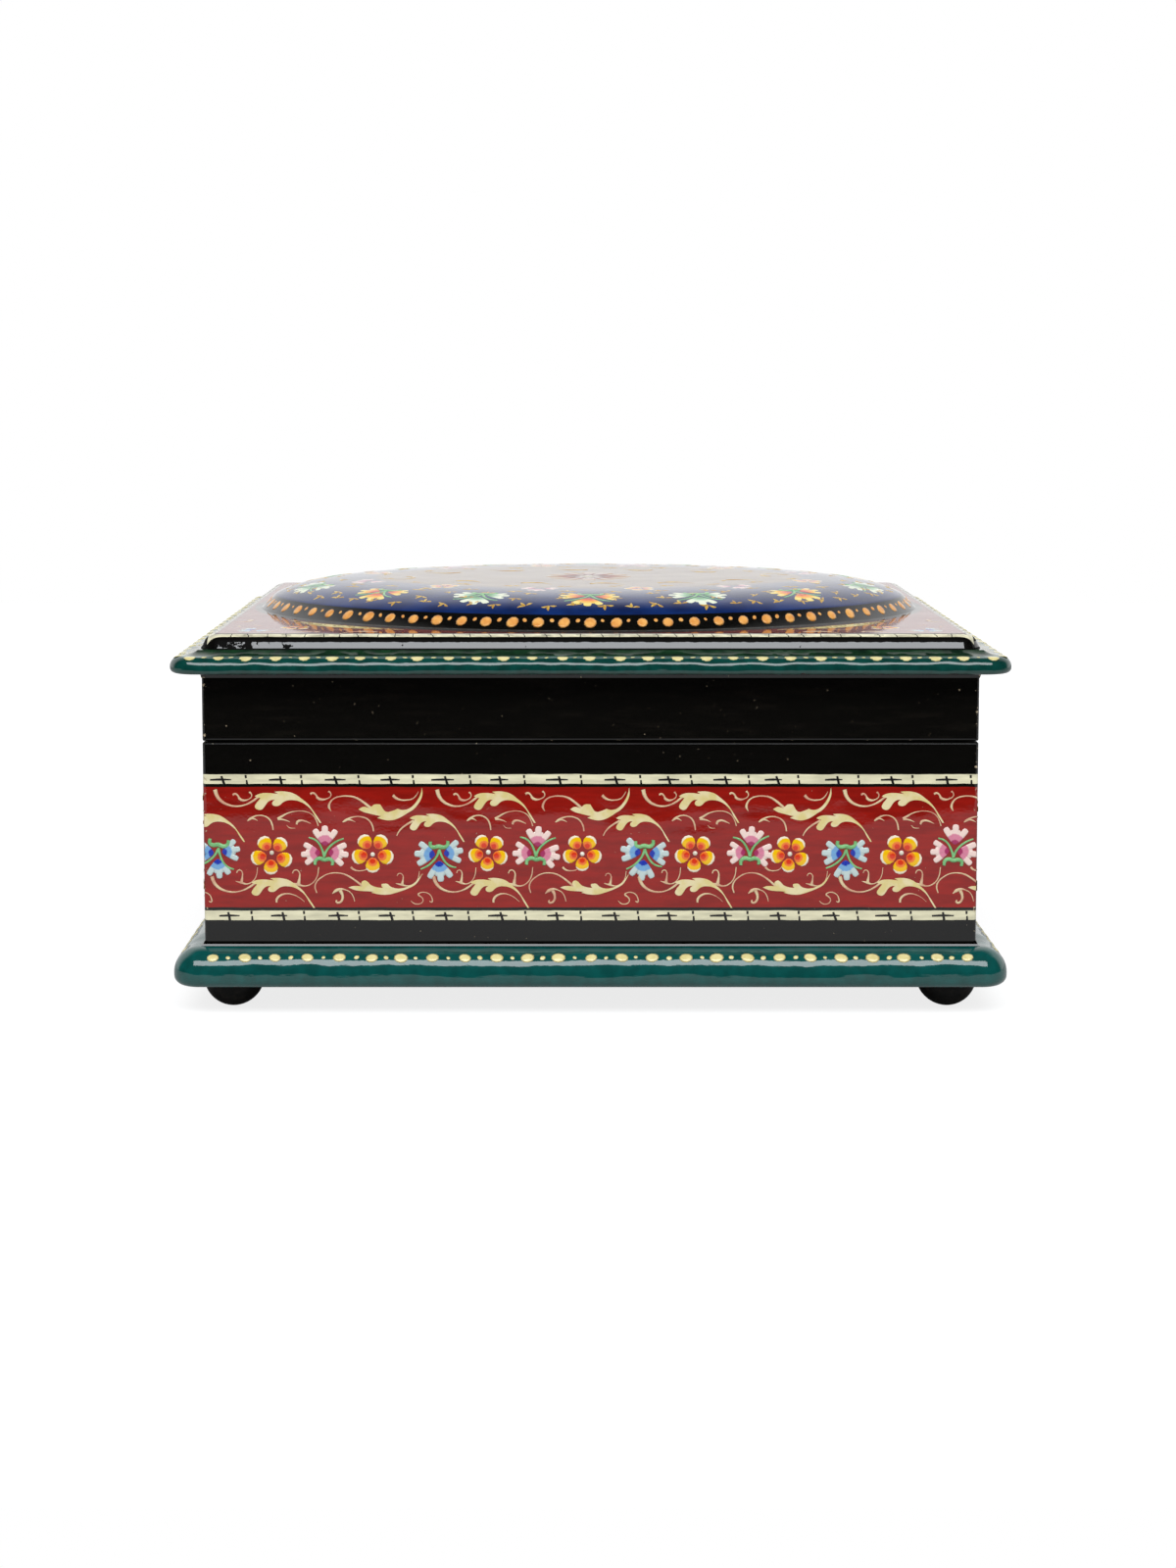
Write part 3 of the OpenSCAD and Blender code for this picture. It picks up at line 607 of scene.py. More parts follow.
# Strokes, from where the brush was set down: (x, y, half width)
BOWL_STEM = [[(-10.4, 2.0, 0.55), (-9.9, 0.3, 0.48), (-8.9, -1.0, 0.4), (-7.3, -1.95, 0.3),
              (-5.1, -2.35, 0.22), (-3.1, -1.95, 0.18), (-1.6, -1.2, 0.27), (0.1, 0.1, 0.3)]]
ARCH_STEM = [[(-9.5, -0.75, 0.06), (-10.0, 0.35, 0.34), (-9.7, 1.5, 0.25), (-8.8, 2.5, 0.18),
              (-7.3, 3.05, 0.17), (-5.5, 3.15, 0.18), (-3.7, 2.8, 0.25), (-2.0, 1.8, 0.3),
              (0, 0.1, 0.35)]]
LOW_ARCH = [[(-11.8, -1.6, 0.14), (-12.2, 0, 0.2), (-11.6, 1.35, 0.18), (-10.5, 2.25, 0.16),
             (-8.8, 3.1, 0.13), (-6.8, 3.35, 0.15), (-4.8, 3.05, 0.2), (-3.1, 2.25, 0.22),
             (-1.6, 1.25, 0.25), (0, 0, 0.3)]]
SHORT_STEM = [[(-4.4, -4.6, 0.14), (-3.6, -3.2, 0.2), (-2.2, -1.9, 0.24), (0.3, -0.4, 0.3)]]
SPRIG_LEAF = [
    [(0, 0, 0.15), (2.2, 0.35, 0.55), (5.0, 0.55, 1.05), (7.6, 0.45, 1.05), (9.9, -0.5, 0.75),
     (12.0, -2.4, 0.42), (13.6, -4.8, 0.28), (14.8, -7.4, 0.15)],
    [(2.9, 0.2, 0.7), (1.7, -1.1, 0.82), (0.8, -2.3, 0.8), (0.5, -2.7, 0.6)]]
HOOK = [[(0, 0, 0.17), (-0.2, 1.3, 0.22), (-0.8, 2.6, 0.2), (-1.9, 3.4, 0.16), (-3.4, 3.6, 0.14),
         (-4.5, 3.25, 0.22), (-5.3, 2.7, 0.33), (-5.9, 2.25, 0.14)],
        [(-5.1, 2.9, 0.26), (-4.3, 2.75, 0.18), (-3.5, 2.3, 0.05)]]
LONG_HOOK = [[(0, 0, 0.15), (-0.5, 1.5, 0.13), (-1.2, 2.6, 0.11), (-2.3, 3.35, 0.1),
              (-3.95, 3.7, 0.1), (-5.4, 3.6, 0.11), (-7.0, 3.15, 0.15), (-8.3, 2.4, 0.26),
              (-9.3, 1.75, 0.36)],
             [(-9.3, 1.7, 0.3), (-7.8, 1.5, 0.18), (-6.5, 1.0, 0.05)]]
S_CURL = [[(0, 0, 0.27), (0.6, 0.25, 0.24), (1.3, -0.4, 0.2), (1.5, -0.9, 0.34),
           (2.3, -1.35, 0.3), (3.5, -1.15, 0.13), (4.3, -0.45, 0.12), (4.25, 0.25, 0.14),
           (3.8, 0.7, 0.26)]]
BUD_CURL = [[(0, 0, 0.1), (-0.3, -2.05, 0.12), (-1.2, -3.5, 0.13), (-2.5, -4.1, 0.14),
             (-3.8, -3.8, 0.3), (-5.1, -3.4, 0.06)],
            [(-3.7, -3.6, 0.4), (-3.5, -2.2, 0.2), (-3.5, -1.3, 0.15), (-3.9, -0.7, 0.13),
             (-4.5, -0.75, 0.13), (-4.8, -1.35, 0.12)]]
BOLD_CURL = [[(3.6, -2.9, 0.08), (3.3, -1.7, 0.12), (2.6, -0.55, 0.12), (1.5, 0.1, 0.13),
              (0.3, 0.35, 0.3), (-0.9, -0.1, 0.45), (-1.8, -0.85, 0.08)],
             [(0.1, 0, 0.5), (0.65, -1.3, 0.35), (0.6, -2.4, 0.32), (-0.1, -3.2, 0.3),
              (-0.8, -3.1, 0.28), (-0.75, -2.5, 0.18)]]
S_LOOP = [[(0, 0, 0.06), (0.7, -0.65, 0.12), (1.8, -0.85, 0.13), (2.75, -0.4, 0.13),
           (2.95, 0.35, 0.14), (2.4, 1.1, 0.17), (1.8, 1.65, 0.22), (2.4, 2.15, 0.12),
           (3.5, 2.2, 0.12), (4.6, 1.65, 0.13), (5.1, 0.75, 0.15), (5.1, -0.3, 0.2),
           (4.5, -0.1, 0.12)]]
CUP = [[(0, 0, 0.4), (0.75, -0.75, 0.34), (2.1, -1.25, 0.21), (3.4, -1.25, 0.17),
        (4.7, -0.95, 0.16), (5.6, -0.1, 0.13), (6.2, 0.95, 0.07)]]
LASH = [[(0, 0, 0.24), (0.2, 0.6, 0.32), (1.0, 0.95, 0.26), (1.9, 0.8, 0.2), (3.3, 0.2, 0.08)],
        [(-2.3, -0.2, 0.05), (-1.6, -0.85, 0.11), (-0.3, -0.95, 0.05)]]
ARC = [[(0, 0, 0.26), (0.1, 0.9, 0.33), (1.0, 1.85, 0.28), (2.5, 2.3, 0.19), (4.0, 2.05, 0.12),
        (5.5, 1.3, 0.08), (6.8, 0.2, 0.05)]]
CELL_LEAVES = (
    # outline, x and height of its stem's end, size, stretch
    (RISING_LEAF, 9.4, 53.1, 0.9, 1.0), (FALLING_LEAF, 35.2, 50.4, 0.9, 1.0),
    (RISING_LEAF, -6.6, 47.7, 0.8, 1.0), (RISING_LEAF, 8.4, 31.7, 0.86, 1.0),
    (LOW_LEAF, 33.3, 31.0, 0.85, 1.0))
CELL_SCROLLS = (
    # strokes, x and height of their start, size, stretch
    (BOWL_STEM, 9.4, 53.1, 0.95, 1.0), (ARCH_STEM, 35.2, 50.4, 0.95, 1.0),
    (SHORT_STEM, -6.6, 47.7, 0.9, 1.0), (BOWL_STEM, 8.4, 31.7, 0.9, 1.05),
    (LOW_ARCH, 33.3, 31.0, 1.0, 0.9), (S_CURL, 3.6, 53.7, 1.0, 1.0),
    (S_CURL, 21.4, 53.9, 1.0, 1.1), (CUP, 40.4, 53.6, 0.95, 1.0), (HOOK, 12.8, 45.0, 1.0, 1.0),
    (HOOK, 35.9, 44.7, 1.0, 1.2), (LONG_HOOK, 23.2, 46.0, 1.0, 1.0),
    (LASH, 18.2, 46.4, 1.0, 1.0), (BUD_CURL, 9.1, 35.7, 1.0, 1.0),
    (BUD_CURL, 23.2, 35.8, 1.15, 1.1), (BUD_CURL, 46.4, 34.8, 0.9, 1.2),
    (CUP, 30.6, 35.8, 0.72, 1.0), (ARC, 13.4, 27.0, 0.95, 1.0),
    (BOLD_CURL, 28.0, 30.0, 0.95, 1.0), (S_LOOP, 44.4, 27.4, 0.95, 1.0))


def cut_leaves(name, outlines):
    """Leaves on the canvas, filled in between their outlines with an even coat of paint."""
    curve = bpy.data.curves.new(name, "CURVE")
    curve.dimensions = "2D"
    curve.fill_mode = "BOTH"
    curve.resolution_u = 3
    curve.extrude = LEAF_THICK / 2 * MM
    curve.bevel_depth = LEAF_THICK / 2 * MM
    curve.bevel_resolution = 0
    for outline in outlines:
        spline = curve.splines.new("BEZIER")
        spline.use_cyclic_u = True
        spline.bezier_points.add(len(outline) - 1)
        for point, (x, y, pointed) in zip(spline.bezier_points, outline):
            point.co = (x * MM, y * MM, 0)
            kind = "VECTOR" if pointed else "AUTO"
            point.handle_left_type = point.handle_right_type = kind
    return meshed(name, curve)


def in_cells(side, width, motifs):
    """One side's outlines or strokes, cell by cell between its blue sprays."""
    blues = [x for kind, x in rows[side] if kind == "blue"]
    cells = [blues[0] - CELL] + blues + [blues[-1] + CELL]
    shapes = []
    for start, end in zip(cells, cells[1:] + [cells[-1] + CELL]):
        wide = (end - start) / CELL
        for motif, x, height, size, stretch in motifs:
            strokes = motif if isinstance(motif[0], list) else [motif]
            shapes += moved(strokes, start + x * wide, height, size, stretch * wide)
    return [s for s in shapes if any(abs(x) < width / 2 for x, y, last in s)]


scroll_paint = gouache("scroll_cream_gouache", ((0.38, SCROLL_THIN), (0.6, SCROLL_CREAM)), 0.3)
leaf_cream_paint = gouache("leaf_cream_gouache", ((0.4, LEAF_CREAM), (0.6, LEAF_YELLOW)), 0.35)
on_walls("wall_leaves", leaf_cream_paint, lambda side, width: cut_leaves(
    "leaves", in_cells(side, width, CELL_LEAVES)))
on_walls("wall_scrolls", scroll_paint, lambda side, width: brushwork(
    "scrolls", in_cells(side, width, CELL_SCROLLS), 0.2))

# ---- Ticks on the wall borders ----
# Along the middle of each cream border the painter set a dash crossed by a stroke, and between
# each two of them a bar right across, all in thin black with a fine brush.
TICK_PITCH = 13.1
TICK_BLACK = "#191612"


def ticks(middle, height, width):
    """One border's ticks, between the ends of a wall."""
    strokes = []
    half = height / 2
    count = round(width / TICK_PITCH)
    for i in range(count):
        x = (i + 0.42) * width / count - width / 2 + rng.uniform(-0.7, 0.7)
        lean = rng.uniform(0.15, 0.4)
        dash = rng.uniform(2.0, 2.8)
        off = rng.uniform(-1.1, 0.1)
        bar = x + TICK_PITCH * 0.42 + rng.uniform(-0.5, 0.5)
        strokes += [
            [(x - dash + off, middle - 0.08, 0.22), (x + off, middle, 0.3),
             (x + dash + off, middle - 0.04, 0.16)],
            [(x - lean, middle + half * 0.75, 0.27), (x + lean, middle - half - 0.1, 0.33)],
            [(bar - lean / 2, middle + half, 0.27), (bar - 0.1, middle + 0.35, 0.25)],
            [(bar + 0.05, middle - 0.1, 0.2), (bar + lean / 2, middle - half - 0.1, 0.28)]]
    return strokes


tick_paint = gouache("thin_black_paint", ((0.3, BLACK), (0.7, TICK_BLACK)))
on_walls("wall_border_ticks", tick_paint, lambda side, width: brushwork("ticks", [
    stroke for low, high in (LOWER_BORDER, UPPER_BORDER)
    for stroke in ticks((low + high) / 2, high - low, width)], 0.12))

# ---- Lid rim, beads and feet ----
# The rim and the bead under the lid board are plain black lacquer, brushed on in long strokes,
# rubbed down, and chipped through along the open seam. The turned feet have worn dull.
BLACK_RUBBED = "#16130f"
FOOT_BLACK, FOOT_SCUFFED = "#0b0a08", "#1d1915"
FOOT_VARNISH = 0.15                # what is left of the feet's varnish

rim_foot, rim_top = (corner.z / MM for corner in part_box("front_rim"))

black_lacquer, tree, shader, place = varnished("black_brushed_lacquer", 0.035)
black = shaded(tree, place, 0.8, 6.0, ((0.5, BLACK), (0.8, BLACK_RUBBED)), (0.12, 0.12, 1.0),
               0.65)
layered(tree, shader, black, (worn_edges(tree, place, rim_foot), WORN))
uneven(tree, shader, place, ((1, 1, 2), 0.07, 0.10, 1.0), ((1, 1, 1.5), 1.1, 0.005, 4.0))
dress(black_lacquer, "front_rim", "back_rim", "left_rim", "right_rim", "lid_bead")

foot_black, tree, shader, place = varnished("worn_matt_black", 0.3)
shader.inputs["Coat Weight"].default_value = FOOT_VARNISH
layered(tree, shader, shaded(tree, place, 0.5, 6.0, ((0.5, FOOT_BLACK), (0.75, FOOT_SCUFFED))))
uneven(tree, shader, place, ((1, 1, 1), 0.6, 0.03, 4.0))
dress(foot_black, "foot_front_left", "foot_front_right", "foot_back_left", "foot_back_right")

# The base bead's hollow foot is steeper than its facet, and only that foot took the varnish, so
# that it shows as one thin bright line.
BEAD_TURNED = 0.9                  # how far that foot is turned up, as its slope
BEAD_VARNISHED = 0.36              # from the bead's foot up to where its varnish ends, mm

bead_black, tree, shader, place = varnished("varnished_bead_black", 0.05, 1.6)
bead_z = node(tree, "SeparateXYZ", {"Vector": place}).node.outputs["Z"]
rise = node(tree, "Math", {0: bead_z, 1: base_high.z / MM}, operation="SUBTRACT")
foot = node(tree, "Math", {0: rise, 1: BEAD_VARNISHED}, operation="LESS_THAN")
tree.links.new(foot, shader.inputs["Coat Weight"])
shader.inputs["Base Color"].default_value = linear(BLACK)
bumped(tree, shader, node(tree, "Math", {0: rise, 1: BEAD_TURNED}, operation="MULTIPLY"), MM)
uneven(tree, shader, place, ((1, 1, 1), 0.08, 0.15, 2.0))
dress(bead_black, "base_bead")

# ---- Lid board ----
# The moulded board on the rim, green like the base. Black paint from the rim has crept onto its
# lower edge in a ragged line. Its narrow ledge is painted darker olive green as painted shade, and
# the ledge's arris a lighter grey green as a painted highlight.
LID_GREEN, LID_GREEN_DEEP = "#05423b", "#04352f"
LEDGE_SHADE_GREEN, LEDGE_SHADE_DEEP = "#183a22", "#0c2417"
CREST_HIGHLIGHT = "#4b6a63"
CREST_SHARE = 0.09                 # how far below the crest the painted highlight reaches, mm
LEDGE_CLEAR = 0.06                 # how far above its arris the ledge's painted shade starts, mm
LID_ROUND = 2.6
LID_LEDGE = 4.1                    # from the board's foot up to its ledge, mm
CREPT_UP = (-1.15, 2.4)            # where the ragged black starts by the foot, and its reach, mm

lid_green, tree, shader, place = varnished("green_moulding_lacquer", 0.05, 1.6)
green = shaded(tree, place, 0.35, 4.0, ((0.35, LID_GREEN_DEEP), (0.65, LID_GREEN)))
# Painted shade: the ledge above its arris takes darker olive greens.
ledge_shade = shaded(tree, place, 0.35, 4.0, ((0.35, LEDGE_SHADE_DEEP), (0.65, LEDGE_SHADE_GREEN)))
lid_z = node(tree, "SeparateXYZ", {"Vector": place}).node.outputs["Z"]
# Where the ledge's painted shade lies: above its arris.
over = node(tree, "Math", {0: lid_z, 1: rim_top + LID_LEDGE + LEDGE_CLEAR},
            operation="GREATER_THAN")
# The mask below is a painted highlight: a thin lighter grey green band along the ledge's arris.
wear_and_highlight = node(tree, "Math", {0: lid_z, 1: rim_top + LID_LEDGE, 2: CREST_SHARE},
            operation="COMPARE")
ragged = node(tree, "TexNoise", {"Vector": place, "Scale": 0.3, "Detail": 5.0, "Roughness": 0.6})
edge = node(tree, "Math", {0: ragged, 1: CREPT_UP[1], 2: rim_top + CREPT_UP[0]},
            operation="MULTIPLY_ADD")
crept = node(tree, "Math", {0: lid_z, 1: edge}, operation="LESS_THAN")
under = node(tree, "Math", {0: lid_z, 1: rim_top + SKIN / 2}, operation="LESS_THAN")
crept = node(tree, "Math", {0: crept, 1: under}, operation="MAXIMUM")
layered(tree, shader, green, (over, ledge_shade), (wear_and_highlight, CREST_HIGHLIGHT), (crept, UNDERSIDE))
uneven(tree, shader, place, ((1, 1, 1), 0.1, 1.3, 1.5), ((1, 1, 3), 0.12, 0.06, 2.0),
       ((1, 1, 2), 0.9, 0.012, 4.0))
dress(lid_green, "lid_board")

# ---- Dots along the lid board ----
# The same cream dots and specks as below, set on the arris of the ledge, so that the upper part
# of each dot lies on the flat and the lower part hangs over the round.
LID_DOT_PITCH = 7.0
LID_DOT_SIZE = (3.3, 3.1)
LID_SPECK_SIZE = (1.3, 0.8)
LID_DOT_ROW = -0.45
LID_BARE_END = 2.0

board_dots("lid_board_dots", "lid", LID_BARE_END, rim_top + LID_LEDGE, LID_ROUND, LID_DOT_ROW,
           LID_DOT_PITCH, LID_DOT_SIZE, LID_SPECK_SIZE)

# ---- Lid panel ----
# The raised board round the oval: a black bevel whose varnish is worn, a cream border with a
# black line inside it, a brushed red field, and a black ring that the oval stands in.
PANEL_RED = "#8f1a12"
PANEL_STREAK = "#b5b5b5"
PANEL_BORDER = (2.0, 3.55)         # how far in from the panel's foot its cream lies, mm
PANEL_LINE_END = 4.1
PANEL_WANDER = 0.12
BEVEL_SHINE = (0.38, 1.79)         # from the panel's foot up, where the bevel's varnish is whole
FRAY = 0.6                         # how far its upper end is frayed, mm
RUBBED_END = (-92.0, -60.0)        # it is rubbed off most at the left end, and less from here on
RUBBED_FROM = (0.44, 0.69)         # and there in the specks above these levels
RING = (90.6, 65.2)                # half length and half width of the black ring, mm

panel_low, panel_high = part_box("lid_panel")
panel_w = (panel_high.x - panel_low.x) / MM
panel_d = (panel_high.y - panel_low.y) / MM


def in_oval(tree, place, half_w, half_d):
    """Whether a place is inside an oval round the middle of the lid."""
    squeezed = node(tree, "Mapping", {"Vector": place, "Scale": (1 / half_w, 1 / half_d, 0)})
    out = node(tree, "VectorMath", {0: squeezed}, operation="LENGTH")
    return node(tree, "Math", {0: out, 1: 1.0}, operation="LESS_THAN")


painted_panel, tree, shader, place = varnished("painted_panel_lacquer", 0.04, 1.65)
inset = strayed(tree, place, inward(tree, place, panel_w / 2, panel_d / 2), PANEL_WANDER, 0.2)
painted = ruled(tree, place, inset, (0, 10), (
    (0, BLACK), (PANEL_BORDER[0], CREAM), (PANEL_BORDER[1], LINE_BLACK),
    (PANEL_LINE_END, PANEL_RED)), (0.5, 1.4, 1.0), 0.6, PANEL_STREAK)
layered(tree, shader, painted, (in_oval(tree, place, *RING), BLACK))
xyz = node(tree, "SeparateXYZ", {"Vector": place}).node.outputs
rise = node(tree, "Math", {0: xyz["Z"], 1: panel_low.z / MM}, operation="SUBTRACT")
specks = node(tree, "TexNoise", {"Vector": place, "Scale": 0.45, "Detail": 6.0, "Roughness": 0.6})
frayed = node(tree, "Math", {0: specks, 1: FRAY, 2: rise}, operation="MULTIPLY_ADD")
high = node(tree, "Math", {0: frayed, 1: BEVEL_SHINE[1] + FRAY / 2}, operation="GREATER_THAN")
limit = node(tree, "MapRange", {"Value": xyz["X"], "From Min": RUBBED_END[0],
                                "From Max": RUBBED_END[1], "To Min": RUBBED_FROM[0],
                                "To Max": RUBBED_FROM[1]})
rubbed = node(tree, "Math", {0: specks, 1: limit}, operation="GREATER_THAN")
dull = node(tree, "Math", {0: high, 1: rubbed}, operation="MAXIMUM")
on_bevel = node(tree, "Math", {0: inset, 1: PANEL_BORDER[0]}, operation="LESS_THAN")
dull = node(tree, "Math", {0: dull, 1: on_bevel}, operation="MULTIPLY")
foot_dull = node(tree, "Math", {0: rise, 1: BEVEL_SHINE[0]}, operation="LESS_THAN")
dull = node(tree, "Math", {0: dull, 1: foot_dull}, operation="MAXIMUM")
whole = node(tree, "Math", {0: 1.0, 1: dull}, operation="SUBTRACT")
tree.links.new(whole, shader.inputs["Coat Weight"])
uneven(tree, shader, place, ((1, 1, 1), 0.07, 0.10, 1.0), ((1, 1, 1), 1.1, 0.008, 4.0))
dress(painted_panel, "lid_panel")

# ---- Oval dome ----
# The raised oval, smoothed by many coats of gesso: a straight black band at its foot, then
# shoulders that roll over into a nearly flat crown. Its ground is blue, and dull gold in the
# middle.
BLUE = "#0f2c66"
BLUE_DEEP = "#0a1d4b"
BAND_WIDE, BAND_HIGH = 4.0, 3.75
CROWN_RISE, CROWN_POWER = 4.2, 9.8
OVAL_SIDES = 192
CROWN_RINGS = 22
BLUE_FOOT = 0.2                    # how far below the crown's edge the blue ends, mm
GOLD_GROUND, GOLD_GROUND_DEEP = "#7d5c28", "#5a2a1a"
GOLD_OVAL = (58.0, 33.5)           # half length and half width of the dull gold middle, mm

dome_low, dome_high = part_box("oval_dome")
half_w = (dome_high.x - dome_low.x) / 2 / MM
half_d = (dome_high.y - dome_low.y) / 2 / MM
dome_foot = dome_low.z / MM

bpy.ops.mesh.primitive_circle_add(vertices=OVAL_SIDES, radius=1, fill_type="NGON",
                                  location=(0, 0, dome_foot * MM))
oval = bpy.context.object
bpy.ops.object.transform_apply(location=True)
oval.data.transform(Matrix.Diagonal((half_w * MM, half_d * MM, 1, 1)))
crown_shares = [1 - (k / CROWN_RINGS) ** 1.6 for k in range(CROWN_RINGS)]
rings = [(0.35, 0.1), (BAND_WIDE - 0.4, BAND_HIGH - 0.35), (BAND_WIDE, BAND_HIGH)]
outline = [(half_w - inset_by, half_d - inset_by, dome_foot + rise) for inset_by, rise in rings]
outline += [((half_w - BAND_WIDE) * s, (half_d - BAND_WIDE) * s,
             dome_foot + BAND_HIGH + CROWN_RISE * (1 - s ** CROWN_POWER))
            for s in crown_shares[1:]]
bpy.ops.object.mode_set(mode="EDIT")
bpy.ops.mesh.select_all(action="SELECT")
before = (half_w, half_d, dome_foot)
for ring in outline:
    bpy.ops.mesh.extrude_region_move(
        TRANSFORM_OT_translate={"value": (0, 0, (ring[2] - before[2]) * MM)})
    bpy.ops.transform.resize(value=(ring[0] / before[0], ring[1] / before[1], 1))
    before = ring
bpy.ops.mesh.select_all(action="SELECT")
bpy.ops.mesh.normals_make_consistent(inside=False)
bpy.ops.object.mode_set(mode="OBJECT")
bpy.ops.object.shade_smooth_by_angle(angle=math.radians(50))
oval.name = oval.data.name = "painted_oval"

oval_lacquer, tree, shader, place = varnished("blue_oval_lacquer", 0.04)
blue = shaded(tree, place, 0.12, 4.0, ((0.35, BLUE_DEEP), (0.65, BLUE)))
gold = shaded(tree, place, 0.5, 5.0, ((0.38, GOLD_GROUND_DEEP), (0.55, GOLD_GROUND)))
oval_z = node(tree, "SeparateXYZ", {"Vector": place}).node.outputs["Z"]
on_band = node(tree, "Math", {0: oval_z, 1: dome_foot + BAND_HIGH - BLUE_FOOT},
               operation="LESS_THAN")
layered(tree, shader, blue, (in_oval(tree, place, *GOLD_OVAL), gold), (on_band, BLACK))
uneven(tree, shader, place, ((1, 1, 1), 0.06, 0.12, 1.0), ((1, 1, 1), 1.1, 0.006, 4.0))
done(oval, oval_lacquer, "lid")
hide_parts("oval_dome")

# ---- Dots around the oval ----
# A close row of orange dots with a small comma of the same paint between each two, on the black
# band. They lean a little, the way the brush was pulled.
BAND_DOTS = 71
BAND_DOT_SIZE = (3.0, 2.2)
COMMA_SIZE = (1.1, 0.8)
DOT_ORANGE, DOT_ORANGE_EDGE = "#ecae5e", "#d98f45"
STEPS_ROUND = 1440                 # how finely the way round the oval is measured
ABOVE_LID = 0.2                    # a height that is clear of the lid, metres


def settled(piece, ground):
    """Lowers a piece of the canvas onto the lid, where each point keeps its own height."""
    for vertex in piece.data.vertices:
        x, y, h = vertex.co
        vertex.co.z = h + ground.ray_cast((x, y, ABOVE_LID), (0, 0, -1))[1].z
    return piece


def evenly(count, inset_by, first=0.0):
    """Places at equal distances round the oval, from its front: (x, y, outward)."""
    fine = []
    for i in range(STEPS_ROUND):
        t = 2 * math.pi * i / STEPS_ROUND - math.pi / 2
        outward = math.atan2(half_w * math.sin(t), half_d * math.cos(t))
        fine.append((half_w * math.cos(t) - inset_by * math.cos(outward),
                     half_d * math.sin(t) - inset_by * math.sin(outward), outward))
    reach = [0.0]
    for a, b in zip(fine, fine[1:] + fine[:1]):
        reach.append(reach[-1] + math.dist(a[:2], b[:2]))
    goals = [reach[-1] * ((i + first) / count % 1) for i in range(count)]
    return [fine[min(range(STEPS_ROUND), key=lambda j: abs(reach[j] - goal))] for goal in goals]


orange_paint = gouache("orange_dot_gouache", ((0.35, DOT_ORANGE_EDGE), (0.6, DOT_ORANGE)))
band_dots = composed(
    "oval_band_dots",
    (drop(*BAND_DOT_SIZE, PAINT_HEIGHT), [
        (x, y, facing + math.pi / 2 + 0.18 + rng.uniform(-0.15, 0.15), rng.uniform(0.9, 1.08))
        for x, y, facing in evenly(BAND_DOTS, BAND_WIDE * 0.5)]),
    (drop(*COMMA_SIZE, PAINT_HEIGHT * 0.7, 8, 4), [
        (x, y, facing + math.pi / 2 + rng.uniform(-0.6, 0.6), rng.uniform(0.8, 1.2))
        for x, y, facing in evenly(BAND_DOTS, BAND_WIDE * 0.62, 0.5)]))
done(settled(band_dots, oval), orange_paint, "lid")

# ---- Flowers on the oval ----
# Fourteen wide sprays stand on the blue ground and face outward, orange and pale green by
# turns, with small gold sprigs between them. Further in are a ring of five-petalled flowers, a
# gold scroll and a medallion of petals in the middle.
SPRAYS = 14
SPRAY_SPREAD = 1.35                # how much wider they are than those on the walls
LID_PAINT_FLAT = 0.3               # how much flatter this finer paint lies than the walls'
CROWN_PAINT_FLAT = 0.12            # and on the flat crown, where it is rubbed down
SPRAY_INSET = 13.2                 # from the oval's foot in to the sprays' middles, mm
GREENISH = ("#5d9a63", "#a9cfae", "#e6ecd2")
GOLD, GOLD_DEEP = "#dcb64a", "#b98a2c"
ORANGE_SHADES = ((0.2, "#c8361a"), (0.3, "#dd5a22"), (0.45, "#f08c2a"), (0.6, "#f4b53a"),
                 (0.75, "#f6dc7a"))
ROSE_SHADES = ((0.2, "#6d2418"), (0.45, "#94452e"), (0.75, "#b58a58"))
GREEN_SHADES = ((0.2, GREENISH[0]), (0.45, GREENISH[1]), (0.6, GREENISH[2]))

orange_lily = along_petal("orange_lily_gouache", ORANGE_SHADES)
green_lily = along_petal("pale_green_lily_gouache", GREEN_SHADES)
rose_lily = along_petal("faded_rose_gouache", ROSE_SHADES)
gold_paint = gouache("gold_sprig_gouache", ((0.4, GOLD_DEEP), (0.6, GOLD)))


def on_lid(name, model, places, material, ground, flatness=LID_PAINT_FLAT):
    """Copies of a model painted on the lid, at (x, y, turn, size)."""
    piece = joined(name, stamped(model, places))
    piece.data.transform(Matrix.Diagonal((1, 1, flatness, 1)))
    done(settled(piece, ground), material, "lid")


wide_spray, wide_stalks = stamped(spray, IN_PLACE) + stamped(stalks, IN_PLACE)
for model in (wide_spray, wide_stalks):
    model.data.transform(Matrix.Diagonal((SPRAY_SPREAD, 1, 1, 1)))
ring = evenly(SPRAYS, SPRAY_INSET)
for name, material, chosen in (("oval_orange_sprays", orange_lily, ring[0::2]),
                               ("oval_green_sprays", green_lily, ring[1::2])):
    on_lid(name, wide_spray, [(x, y, out - math.pi / 2 + rng.uniform(-0.1, 0.1),
                               rng.uniform(0.94, 1.02)) for x, y, out in chosen], material, oval)
on_lid("oval_stalks", wide_stalks, [(x, y, out - math.pi / 2, 0.98) for x, y, out in ring],
       leaf_paint, oval)
for model in (wide_spray, wide_stalks):
    bpy.data.objects.remove(model)

